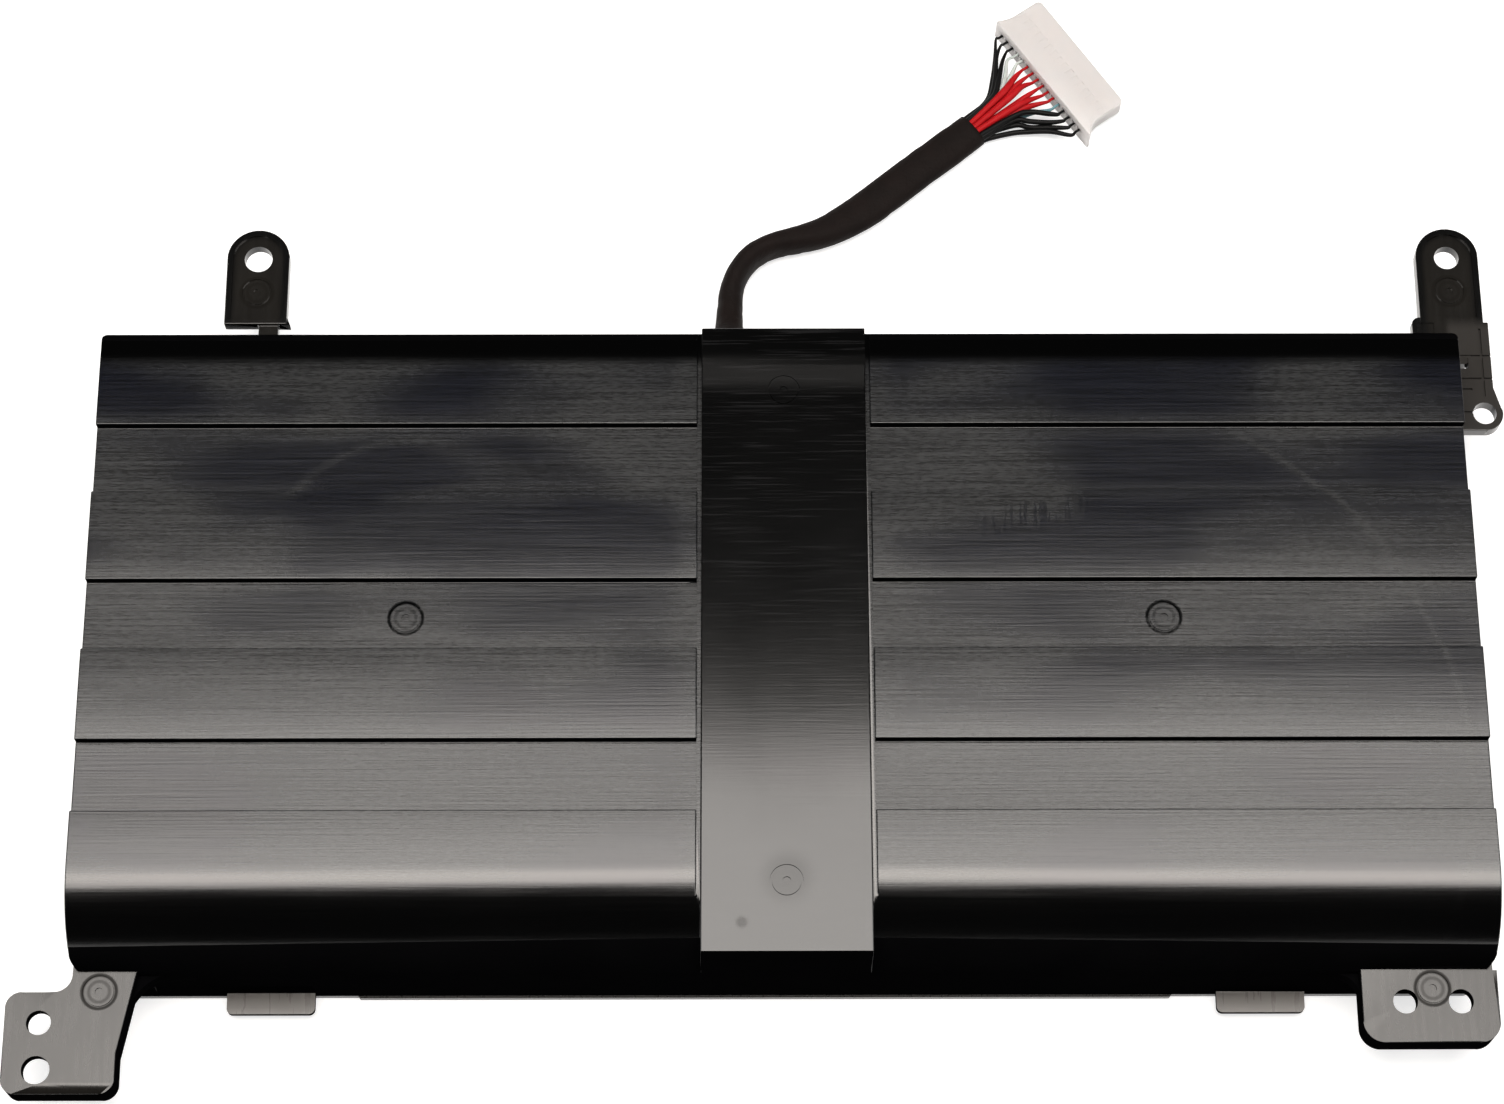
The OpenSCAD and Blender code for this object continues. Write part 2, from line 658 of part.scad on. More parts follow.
// One cell along X with its base at the origin and its button towards +X: a can with a
// crimp bead, a rolled shoulder and a button
module cell_shape() {
    can = cell_len - button_h;
    r = cell_d / 2;
    rotate([90, 0, 90]) rotate_extrude($fn = 96) polygon([
        [0, 0], [r - 0.4, 0], [r, 0.4],
        [r, can - 4], [r - bead_depth, can - 3.5], [r - bead_depth, can - 2.9], [r, can - 2.4],
        [r, can - 0.5], [r - 0.5, can], [button_d / 2 + 2.2, can], [button_d / 2 + 2, can - 0.3],
        [button_d / 2, can - 0.3], [button_d / 2, cell_len - 0.2], [button_d / 2 - 0.2, cell_len],
        [0, cell_len]]);
}

// Column 0 is the left one. The rows of the first pair point their buttons outwards and
// those of the second pair inwards, so the end links join the pairs in series.
function points_out(i) = i < rows / 2;

module cell(column, i) {
    s = column == 0 ? -1 : 1;
    out = column == 0 ? points_out(i) : !points_out(i);
    color([0.16, 0.45, 0.42]) translate([s * (out ? cell_x : cell_x + cell_len), row_y(i), axis_z])
        mirror([(s > 0) == out ? 0 : 1, 0, 0]) cell_shape();
}

// Fibre washers round the buttons, on the cells' shoulders
module washers() {
    t = 0.3;
    can = cell_len - button_h;
    color([0.85, 0.82, 0.7]) for (column = [0, 1], i = [0 : rows - 1]) {
        s = column == 0 ? -1 : 1;
        out = column == 0 ? points_out(i) : !points_out(i);
        x = s * (out ? cell_x + can + 0.02 : cell_x + button_h - 0.02 - t);
        translate([s > 0 ? x : x - t, row_y(i), axis_z]) rotate([0, 90, 0]) difference() {
            cylinder(h = t, d = cell_d - 1.6);
            translate([0, 0, -over]) cylinder(h = t + 2 * over, d = button_d + 0.3);
        }
    }
}

// A nickel strip across rows i0 to i1, welded to the cell ends that face X = x. It is
// slotted at each weld so the current goes through the cell.
module weld_strip(x, i0, i1) {
    y0 = row_y(i1) - nickel_w / 2;
    y1 = row_y(i0) + nickel_w / 2;
    difference() {
        translate([x, y0, axis_z - nickel_w / 2]) cube([nickel_t, y1 - y0, nickel_w]);
        for (i = [i0 : i1]) translate([x - over, row_y(i) - 0.4, axis_z - nickel_w / 4])
            cube([nickel_t + 2 * over, 0.8, nickel_w]);
    }
}

end_x = cell_x + cell_len + weld_gap;
mid_x = cell_x - weld_gap - nickel_t;

module link_left() {
    color("silver") weld_strip(-end_x - nickel_t, 0, rows - 1);
}

module link_right() {
    color("silver") weld_strip(end_x, 0, rows - 1);
}

// The tail that leads from an inner strip down to the board, on the side that s gives
module tail(s, y, reach) {
    x = s * mid_x;
    translate([s > 0 ? x : x - nickel_t, y - tail_w / 2, board_top])
        cube([nickel_t, tail_w, axis_z - board_top]);
    translate([s > 0 ? x - reach : x - nickel_t, y - tail_w / 2, board_top + 0.02])
        cube([reach + nickel_t, tail_w, nickel_t]);
}

module link_minus() {
    color("silver") {
        weld_strip(-mid_x - nickel_t, 0, 1);
        tail(-1, pitch * 0.75, bay_w / 2 - board_w * 0.3);
    }
}

module link_plus() {
    color("silver") {
        weld_strip(mid_x, 0, 1);
        tail(1, pitch * 0.75, bay_w / 2 - board_w * 0.3);
    }
}

// The middle tap joins the second pair of each column across the board
module link_mid() {
    color("silver") {
        weld_strip(-mid_x - nickel_t, 2, 3);
        weld_strip(mid_x, 2, 3);
        tail(-1, -pitch, 2 * mid_x);
        tail(1, -pitch, 1);
    }
}

// A sense ribbon lies in the valley between the two middle rows, from the outer link to
// the bay, and comes down to the board there
ribbon_z = axis_z + sqrt(pow(cell_d / 2, 2) - pow(pitch / 2 - ribbon_w / 2, 2)) + 0.05;

module ribbon(s) {
    x_out = end_x + nickel_t + 0.05;
    x_in = cell_x - 0.9;
    color([0.75, 0.5, 0.2]) {
        translate([s > 0 ? x_in : -x_out - ribbon_t, -ribbon_w / 2, ribbon_z])
            cube([x_out + ribbon_t - x_in, ribbon_w, ribbon_t]);
        translate([s > 0 ? x_out : -x_out - ribbon_t, -ribbon_w / 2, axis_z])
            cube([ribbon_t, ribbon_w, ribbon_z - axis_z + ribbon_t]);
        translate([s > 0 ? x_in : -x_in - ribbon_t, -ribbon_w / 2, board_top + 0.02])
            cube([ribbon_t, ribbon_w, ribbon_z - board_top]);
        translate([s > 0 ? x_in - 4.5 : -x_in - ribbon_t, -ribbon_w / 2, board_top + 0.02])
            cube([4.5 + ribbon_t, ribbon_w, ribbon_t]);
    }
}

module ribbon_left() {
    ribbon(-1);
}

module ribbon_right() {
    ribbon(1);
}

module board() {
    color("darkgreen") difference() {
        translate([0, 0, board_z]) linear_extrude(board_t)
            round_rect([board_x - board_w / 2, board_y - board_len / 2],
                       [board_x + board_w / 2, board_far], 0.8);
        for (x = [-1, 1], y = [-1, 1])
            translate([board_x + x * pin_x, board_y + y * pin_y, board_z - over])
                cylinder(h = board_t + 2 * over, d = pin_d + 2 * pin_clear);
    }
}

// Pads for the cable's wires, four by four at the board's far edge
function pad_x(i) = slot_x + (floor(i / 4) - 1.5) * pad_col;
function pad_y(i) = board_far - 1 - (i % 4) * pad_row;

module solder_pads() {
    color("silver") for (i = [0 : ways - 1]) translate([pad_x(i), pad_y(i), board_top])
        cylinder(h = pad_t, d = 0.9, $fn = 24);
}

// A moulded chip package with gull leads along its two long sides
module chip(x, y, w, l, h, leads) {
    translate([board_x + x, board_y + y, board_top]) {
        color([0.08, 0.08, 0.09]) translate([-w / 2, -l / 2, 0.1]) cube([w, l, h]);
        color("silver") for (k = [0 : leads - 1], s = [-1, 1])
            translate([s * (w / 2 + 0.3) - 0.35, (k + 0.5) * l / leads - l / 2 - 0.15, 0])
                cube([0.7, 0.3, h / 2]);
    }
}

// The parts on the board keep their shares of its length, so they spread out with it
module mosfets() {
    for (share = [0.25, 0.025]) chip(-1.5, share * board_len, 4, 5, 1.5, 4);
}

gauge_y = -0.12 * board_len;

module gauge_chip() {
    chip(0, gauge_y, 4.4, 9.7, 1, 12);
}

module fuse_chip() {
    color([0.75, 0.73, 0.68]) translate([board_x + 2.2, board_y + 0.32 * board_len, board_top])
        cube([3.2, 5.4, 0.9]);
}

module shunt() {
    color([0.2, 0.2, 0.22])
        translate([board_x - 3.2, board_y - board_len / 2 + part_gap, board_top])
            cube([6.4, 2.6, 0.6]);
}

module capacitors() {
    color([0.72, 0.6, 0.45]) for (y = [-3, 0, 3], x = [-6.6, 5])
        translate([board_x + x, board_y + gauge_y + y, board_top]) cube([1.6, 0.8, 0.8]);
}

// A row of resistors between the middle tap's tail and the shunt
module resistors() {
    size = [0.8, 1.6, 0.45];
    color([0.1, 0.1, 0.12]) for (k = [0 : 4])
        translate([board_x + 4 - 2 * k, -pitch - tail_w / 2 - part_gap - size[1], board_top])
            cube(size);
}

// The thermistor: a bead on two legs that leans on the end of a cell
module thermistor() {
    bead = [cell_x - 1.15, row_y(0), axis_z + cell_d / 3];
    color([0.1, 0.1, 0.1]) {
        translate(bead) sphere(d = 2.2);
        for (s = [-1, 1])
            rod([board_x + board_w / 2 - 1.5, bead[1] + s * 0.5, board_top + 0.02],
                bead + [-0.4, s * 0.5, 0], 0.35);
    }
}

// Leads from the inner end of the sleeve, four by four, to the board's pads. A lead of a
// higher layer passes over those below it and comes down on a pad farther in.
module leads(name) {
    for (i = [0 : ways - 1]) if (wire_set[i] == name) {
        layer = slot_z + (i % 4 - 1.5) * (wire_d + wire_gap);
        rest = board_top + pad_t + wire_d / 2;
        pts = [[slot_x + (floor(i / 4) - 1.5) * (wire_d + wire_gap), sleeve_route[0][1], layer],
               [pad_x(i), pad_y(i) + 1.5, layer], [pad_x(i), pad_y(i) + 0.2, rest],
               [pad_x(i), pad_y(i) - 0.45, rest]];
        tube(route_rings(pts, [for (q = pts) [wire_d / 2, wire_d / 2]], 8));
    }
}

module leads_black() {
    color([0.05, 0.05, 0.05]) leads("black");
}

module leads_white() {
    color([0.85, 0.87, 0.87]) leads("white");
}

module leads_red() {
    color([0.8, 0.08, 0.08]) leads("red");
}

module leads_blue() {
    color([0.3, 0.5, 0.6]) leads("blue");
}

module sleeve() {
    pts = [for (p = sleeve_route) [p[0], p[1], p[2]]];
    half = [for (p = sleeve_route) [p[3], p[4]]];
    color([0.07, 0.06, 0.06]) tube(route_rings(pts, half, 12));
}

// Places of wire i: in the sleeve's end, three deep, and in the plug's row
fan_dir = [cos(fan_turn), sin(fan_turn), 0];
fan_side = [sin(fan_turn), -cos(fan_turn), 0];
plug_dir = [cos(plug_turn), sin(plug_turn), 0];
plug_row = [sin(plug_turn), -cos(plug_turn), 0];
function fan_start(i) = [fan_from[0], fan_from[1], fan_from[2]]
    + (floor(i / 3) - 2.5) * (wire_d + wire_gap) * fan_side
    + [0, 0, (i % 3 - 1) * (wire_d + wire_gap)];
function fan_end(i) = [plug_x, plug_y, way_z] + (i - (ways - 1) / 2) * way_pitch * plug_row;

// Point of wire i at t: it spreads out in its own layer and then comes to the plug's row
function fan_point(i, t) =
    let (p = fan_start(i), s = fan_end(i) - 0.4 * plug_dir,
         q = bezier(p, p + 5 * fan_dir, s - 5 * plug_dir, s, t))
    [q[0], q[1], p[2] + (s[2] - p[2]) * max(0, 2 * t - 1)];

module wires(name) {
    for (i = [0 : ways - 1]) if (wire_set[i] == name) {
        pts = concat([for (t = [0 : 0.25 : 1]) fan_point(i, t)],
                     [fan_end(i) + wire_in * plug_dir]);
        tube(route_rings(pts, [for (q = pts) [wire_d / 2, wire_d / 2]], 8));
    }
}

module wires_black() {
    color([0.05, 0.05, 0.05]) wires("black");
}

module wires_white() {
    color([0.85, 0.87, 0.87]) wires("white");
}

module wires_red() {
    color([0.8, 0.08, 0.08]) wires("red");
}

module wires_blue() {
    color([0.3, 0.5, 0.6]) wires("blue");
}

// The plug's own frame: Y runs into the socket, X along the row of ways
module at_plug() {
    translate([plug_x, plug_y, 0]) rotate([0, 0, plug_turn - 90]) children();
}

// One lug of the plug, which flares from the end wall to a thin tip, at the end that s gives
module plug_lug(s, reach) {
    tip = 0.15;
    run = 2.3;
    w = plug_w / 2;
    r = flare_r(reach, run);
    difference() {
        translate([s > 0 ? w - 0.5 : -w - reach, 0]) square([reach + 0.5, tip + run]);
        translate([s * (w + r), tip + run]) circle(r, $fn = 96);
    }
}

// The plug: a flat housing with a way for each wire, a shallow window over each contact,
// a lug at each end of its wire side and a foot that stands in from its other walls
module plug() {
    w = plug_w / 2;
    foot_h = 1.2;
    foot_in = 1.2;
    color([0.93, 0.92, 0.87]) at_plug() difference() {
        union() {
            translate([0, 0, foot_h]) linear_extrude(plug_h - foot_h)
                round_rect([-w, 0], [w, plug_depth], 0.7);
            linear_extrude(foot_h + over)
                round_rect([foot_in - w, 0], [w - foot_in, plug_depth - foot_in], 0.5);
            linear_extrude(plug_h) {
                translate([-w, 0]) square([plug_w, foot_in]);
                plug_lug(-1, lug_a);
                plug_lug(1, lug_b);
            }
        }
        for (i = [0 : ways - 1]) translate([(i - (ways - 1) / 2) * way_pitch, 0, way_z]) {
            translate([-way_hole / 2, -over, -way_hole / 2])
                cube([way_hole, plug_depth + 2 * over, way_hole]);
            translate([-way_hole / 2, 2.6, plug_h - way_z - window_h]) cube([way_hole, 1.2, plug_h]);
        }
    }
}

// Box contacts, one in each way, between the wire's end and the mating face
module contacts() {
    t = way_hole - 0.14;
    color([0.8, 0.7, 0.5]) at_plug() for (i = [0 : ways - 1])
        translate([(i - (ways - 1) / 2) * way_pitch - t / 2, wire_in + 0.02, way_z - t / 2])
            cube([t, plug_depth - wire_in - 0.7, t]);
}

cover();
base();
cell(0, 0);  // cell_1
cell(0, 1);  // cell_2
cell(0, 2);  // cell_3
cell(0, 3);  // cell_4
cell(1, 0);  // cell_5
cell(1, 1);  // cell_6
cell(1, 2);  // cell_7
cell(1, 3);  // cell_8
washers();
link_left();
link_right();
link_minus();
link_plus();
link_mid();
ribbon_left();
ribbon_right();
board();
solder_pads();
mosfets();
gauge_chip();
fuse_chip();
shunt();
capacitors();
resistors();
thermistor();
leads_black();
leads_white();
leads_red();
leads_blue();
sleeve();
wires_black();
wires_white();
wires_red();
wires_blue();
plug();
contacts();
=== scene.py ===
"""Laptop battery pack: looks, free cable, stage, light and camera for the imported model."""
import math

import bmesh
import bpy
from mathutils import Matrix, Vector, noise


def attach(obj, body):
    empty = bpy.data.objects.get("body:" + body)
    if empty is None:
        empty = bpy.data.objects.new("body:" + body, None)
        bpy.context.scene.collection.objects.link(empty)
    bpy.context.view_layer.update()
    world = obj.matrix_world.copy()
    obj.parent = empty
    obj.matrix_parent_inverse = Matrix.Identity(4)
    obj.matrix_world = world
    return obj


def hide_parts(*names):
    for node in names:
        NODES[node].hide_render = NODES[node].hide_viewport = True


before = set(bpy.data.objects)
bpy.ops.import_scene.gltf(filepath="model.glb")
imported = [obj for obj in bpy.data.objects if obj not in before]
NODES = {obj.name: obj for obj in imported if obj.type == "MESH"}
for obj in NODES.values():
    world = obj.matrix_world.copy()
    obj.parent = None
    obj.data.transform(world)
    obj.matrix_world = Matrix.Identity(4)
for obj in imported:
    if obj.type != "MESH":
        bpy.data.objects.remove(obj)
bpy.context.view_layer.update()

bl_info = {
    "name": "Laptop battery pack",
    "version": (1, 0, 0),
    "blender": (4, 5, 0),
    "location": "View3D > Sidebar > Battery",
    "description": "Dresses the modelled battery pack in moulded plastic, wire and nylon",
    "category": "Object",
}

MM = 0.001

# Places and lengths of the cover, in millimetres
FAR_WALL = 38.075            # outer face of the long wall that the cable leaves
STRIP = (-9.3, 10.01)        # the smooth strip across the middle of the face
STRIP_MID = 0.35
FAR_GROOVE = 25.6            # between the farthest land and the farthest band
BAND_WIDTH = 8.4
LAND_PITCH = 19.4            # from one band to the next
END_LINE = 80.2              # the face lies within this of the middle, along the pack
LONG_LINE = 38.0             # and within this across it
FACE_FOOT = 17.0             # and above this
# Ejector pin marks, as x, y and the height of the sunk ring
BAND_MARKS = [(STRIP_MID - 43.7, 1.77, 19.55), (STRIP_MID + 43.7, 1.77, 19.55)]
EAR_MARKS = [(-63.6, 46.9, 11.6), (81.7, 46.9, 11.6)]
TAB_MARKS = [(-77.3, -40.27, 11.85), (73.45, -40.17, 11.85)]
EARS = [(-63.6, 51.375), (81.7, 51.375)]     # middles of the ears' round ends

# Wear of the ribbed face, in millimetres
CLEAN_LINE = (-43.3, -29.0, 6.7)     # from x to x at y: middle line of the clean dark patch
CLEAN_REACH = 17.2                   # from that line to the rubbed line
CURVE_AT = (30.8, -17.0, 0.0)        # centre of the long rubbed curve
CURVE_RADIUS = 47.4
STROKES_AT = (32.5, 12.6)            # middle of the short dark strokes
# The halos of the marks and the field of the strokes are ovals: their width over their length
HALO_STRETCH = 0.55
STROKES_STRETCH = 0.4

RESIN_IOR = 1.58             # index of refraction of the case's resin
# Inputs of a colour mix node, by number
FACTOR, COLOUR_A, COLOUR_B = 0, 6, 7

# How the cover's edges are worked: in metres and radians
WELD = 0.000002              # corners this near are one
FLAT = math.radians(0.03)    # faces this near to level with each other are one
SHARP = math.radians(38)     # an edge that turns more than this is rounded or kept crisp
BROAD = 0.00055              # mean width of the narrowest face whose edges are rounded
EDGE_ROUND = 0.00015

# Middle line of the sleeve in millimetres: x, distance from the far wall, z,
# half width and half height of its oval section.
SLEEVE_ROUTE = [
    (-6.1, -2.6, 6.9, 1.9, 1.8), (-6.1, 0.4, 6.9, 1.9, 1.8), (-6.1, 2.4, 6.6, 1.9, 1.8),
    (-6.1, 4.4, 5.5, 1.8, 1.9), (-6.1, 6.4, 4.1, 1.8, 1.9), (-6.1, 8.4, 3.0, 1.7, 2.1),
    (-6.0, 10.9, 2.5, 1.6, 2.2), (-5.8, 13.3, 2.4, 1.5, 2.3), (-4.9, 15.9, 2.4, 1.4, 2.3),
    (-3.2, 18.1, 2.4, 1.4, 2.3), (-0.7, 19.6, 2.3, 1.4, 2.2), (2.2, 20.5, 2.1, 1.6, 2.0),
    (5.6, 21.7, 1.8, 1.9, 1.7), (8.6, 23.4, 1.6, 2.2, 1.5), (11.6, 25.5, 1.5, 2.4, 1.4),
    (15.0, 28.3, 1.5, 2.4, 1.4), (18.4, 31.1, 1.5, 2.4, 1.4), (21.8, 33.8, 1.5, 2.4, 1.4),
    (24.9, 36.3, 1.5, 2.3, 1.4),
]

# The fan of wires in plan, one row for each way of the plug. Every wire starts
# in the sleeve's mouth and ends in its way; these are the bends between.
FAN = [
    [(26.9, 78.9), (27.7, 81.85), (28.05, 84.9), (28.25, 87.2)],
    [(27.1, 78.6), (27.95, 81.5), (28.2, 84.6), (28.55, 86.65)],
    [(27.6, 78.85), (28.35, 81.2), (28.9, 83.95), (29.45, 85.6)],
    [(28.15, 79.25), (29.2, 81.85), (29.8, 83.85)],
    [(28.6, 79.6), (29.95, 82.15), (30.75, 83.6)],
    [(28.9, 79.5), (30.35, 81.6), (31.4, 82.75)],
    [(29.15, 78.85), (30.7, 80.8), (32.25, 82.1)],
    [(29.5, 78.55), (31.2, 80.3), (32.85, 81.3)],
    [(29.9, 77.6), (31.75, 79.05), (33.4, 80.3)],
    [(30.2, 77.25), (32.0, 78.35), (33.85, 79.4)],
    [(30.4, 76.95), (32.35, 77.75), (34.4, 78.55)],
    [(30.7, 76.5), (32.6, 76.95), (34.5, 77.6)],
    [(30.5, 76.3), (32.5, 76.75), (34.7, 76.55), (36.2, 77.05)],
    [(30.3, 75.85), (32.2, 75.65), (34.5, 75.4), (36.2, 75.75)],
    [(30.35, 75.45), (32.2, 75.0), (34.75, 74.75), (36.7, 74.95)],
    [(29.75, 74.3), (31.85, 74.4), (34.75, 74.2), (36.95, 74.05)],
]
MID_WAY = (len(FAN) - 1) / 2
# Where each wire lies in the sleeve's mouth, in steps of the bundle: across, and up
BUNDLE = [
    (-2.45, -0.6), (-2.4, 0.4), (-1.75, 0.95), (-1.5, 0.0), (-0.95, -0.75), (-1.05, 0.95),
    (-0.5, 0.1), (-0.05, 0.95), (0.45, 0.1), (0.95, 0.95), (1.35, 0.1), (0.2, -0.85),
    (1.95, 0.8), (2.3, -0.1), (1.5, -0.85), (2.45, -0.95),
]
BUNDLE_STEP = 0.72
# Ways of the plug that each colour of wire enters
WIRE_WAYS = {
    "black": [0, 1, 2, 12, 13, 14, 15],
    "white": [3, 4],
    "red": [5, 6, 7, 8, 9, 10],
    "blue": [11],
}
# The two near tones of each colour of insulation
WIRE_TONES = {
    "black": ("#050505", "#0c0c0d"),
    "white": ("#d5dad7", "#bccac6"),
    "red": ("#a50a10", "#bf1a20"),
    "blue": ("#5d7f8c", "#7fb0b6"),
}
FAN_TURN = math.radians(38.9)        # heading of the wires as they leave the sleeve
PLUG_TURN = math.radians(34.8)       # heading of the ways, from the wires to the mating face
PLUG_AT = (33.7, 81.075)             # middle of the plug's wire side
PLUG_MARGIN = 1.42                   # what the housing is wider than its row of ways
PLUG_CORNER = 0.7                    # radius of the corners of the mating face
PLUG_FOOT = 1.2                      # height of the foot, and how far it stands in
FIRST_LUG, LAST_LUG = 0.6, 1.2       # reach of the lugs beside the first way and the last

# The photograph's point of view, fitted to the lands, the strip and the base edge:
# a place in metres, and turns in radians
VIEW_AT = (-0.004942, -0.139167, 0.406335)
VIEW_TURNS = (("Z", 0.0015453), ("Y", 0.0036638), ("X", -0.3679359))


def linear(code):
    """Turn an sRGB hex colour into the linear RGBA that shaders take."""
    parts = [int(code[i:i + 2], 16) / 255 for i in (1, 3, 5)]
    return tuple(c / 12.92 if c <= 0.04045 else ((c + 0.055) / 1.055) ** 2.4 for c in parts) + (1.0,)


def add(tree, kind, sockets=(), **settings):
    """Add a node, apply its settings, and set or link its inputs; a node links by its first live output."""
    node = tree.nodes.new(kind)
    for name, value in settings.items():
        setattr(node, name, value)
    for name, value in dict(sockets).items():
        if isinstance(value, bpy.types.Node):
            value = next(socket for socket in value.outputs if socket.enabled)
        if isinstance(value, bpy.types.NodeSocket):
            tree.links.new(value, node.inputs[name])
        else:
            node.inputs[name].default_value = value
    return node


# Materials


def new_material(name):
    """Start an empty node material."""
    material = bpy.data.materials.new(name)
    material.use_nodes = True
    material.node_tree.nodes.clear()
    return material, material.node_tree


def millimetres(tree):
    """Object coordinates scaled so that one unit is a millimetre."""
    place = add(tree, "ShaderNodeTexCoord")
    return add(tree, "ShaderNodeVectorMath", {0: place.outputs["Object"], "Scale": 1 / MM}, operation="SCALE")


def patch(tree, *ramps):
    """A soft-edged area: ramps of value, start and end, each from nought to one, multiplied together."""
    area = None
    for value, start, end in ramps:
        ramp = add(tree, "ShaderNodeMapRange", {"Value": value, "From Min": start, "From Max": end},
                   interpolation_type="SMOOTHSTEP")
        if area is None:
            area = ramp
        else:
            area = add(tree, "ShaderNodeMath", {0: area, 1: ramp}, operation="MULTIPLY")
    return area


def off_line(tree, value, line):
    """How far a value lies from a line, on either side."""
    past = add(tree, "ShaderNodeMath", {0: value, 1: line}, operation="SUBTRACT")
    return add(tree, "ShaderNodeMath", {0: past}, operation="ABSOLUTE")


def pin_rings(tree, place, marks):
    """Thin rings at the edges of ejector marks: one where the groove starts, one at the pin."""
    rings = 0.0
    for mark in marks:
        away = add(tree, "ShaderNodeVectorMath", {0: place, 1: mark}, operation="DISTANCE")
        for radius, part in ((1.95, 1.0), (1.2, 0.35)):
            ring = patch(tree, (off_line(tree, away, radius), 0.3, 0.05))
            rings = add(tree, "ShaderNodeMath", {0: ring, 1: part, 2: rings}, operation="MULTIPLY_ADD")
    return rings


def face_wear(tree, place, axes):
    """How worn the ribbed face is, from nought where it is clean to one where it is rubbed pale."""
    x, y = axes.outputs["X"], axes.outputs["Y"]
    # worn blotches some 25 mm across
    stretch = add(tree, "ShaderNodeMapping", {"Vector": place, "Scale": (0.7, 1.5, 1.0)})
    worn = add(tree, "ShaderNodeTexNoise", {"Vector": stretch, "Scale": 0.05, "Detail": 3.0,
                                            "Roughness": 0.35})
    wear = patch(tree, (worn, 0.38, 0.62))
    # amounts of wear to add, and the ramps of the areas that they cover
    areas = []
    # the long edges of every land and band are rubbed
    turn = add(tree, "ShaderNodeMath", {0: FAR_GROOVE, 1: y}, operation="SUBTRACT")
    turn = add(tree, "ShaderNodeMath", {0: turn, 1: LAND_PITCH}, operation="FLOORED_MODULO")
    for edge in (0.0, BAND_WIDTH, LAND_PITCH):
        areas.append((0.35, [(off_line(tree, turn, edge), 2.2, 0.3)]))
    # the lands' ends beside the strip are paler, and a halo round each mark of the middle band is rubbed
    areas.append((0.5, [(off_line(tree, x, STRIP_MID), 14.5, 10.5)]))
    for mark_x, mark_y, mark_z in BAND_MARKS:
        oval = add(tree, "ShaderNodeMapping", {"Vector": place, "Scale": (HALO_STRETCH, 1.0, 1.0)})
        away = add(tree, "ShaderNodeVectorMath", {0: oval, 1: (mark_x * HALO_STRETCH, mark_y, mark_z)},
                   operation="DISTANCE")
        areas.append((0.7, [(away, 7.0, 1.5)]))
    # a hand's worth of clean dark face on the left column, with a rubbed line over it
    level = add(tree, "ShaderNodeMapping", {"Vector": place, "Scale": (1.0, 1.0, 0.0)})
    from_x, to_x, line_y = CLEAN_LINE
    core = add(tree, "ShaderNodeClamp", {"Value": x, "Min": from_x, "Max": to_x})
    core = add(tree, "ShaderNodeCombineXYZ", {"X": core, "Y": line_y})
    away = add(tree, "ShaderNodeVectorMath", {0: level, 1: core}, operation="DISTANCE")
    areas.append((0.4, [(off_line(tree, away, CLEAN_REACH), 1.0, 0.0), (y, 15.0, 18.0), (x, -34.0, -44.0)]))
    areas.append((-0.8, [(away, 18.5, 10.0), (y, 5.5, 8.0)]))
    # and a long rubbed curve on the right column
    away = add(tree, "ShaderNodeVectorMath", {0: level, 1: CURVE_AT}, operation="DISTANCE")
    areas.append((0.45, [(off_line(tree, away, CURVE_RADIUS), 0.8, 0.0), (x, 50.0, 58.0)]))
    # a few short dark strokes across the second land of the right column
    narrow = add(tree, "ShaderNodeMapping", {"Vector": place, "Scale": (2.4, 0.25, 1.0)})
    strokes = add(tree, "ShaderNodeTexNoise", {"Vector": narrow, "Scale": 1.0, "Detail": 1.0})
    oval = add(tree, "ShaderNodeMapping", {"Vector": place, "Scale": (STROKES_STRETCH, 1.0, 0.0)})
    middle = (STROKES_AT[0] * STROKES_STRETCH, STROKES_AT[1], 0.0)
    away = add(tree, "ShaderNodeVectorMath", {0: oval, 1: middle}, operation="DISTANCE")
    areas.append((-0.6, [(strokes, 0.5, 0.6), (away, 4.4, 2.5)]))
    for amount, ramps in areas:
        area = patch(tree, *ramps)
        wear = add(tree, "ShaderNodeMath", {0: area, 1: amount, 2: wear}, operation="MULTIPLY_ADD")
    wear.use_clamp = True
    return wear


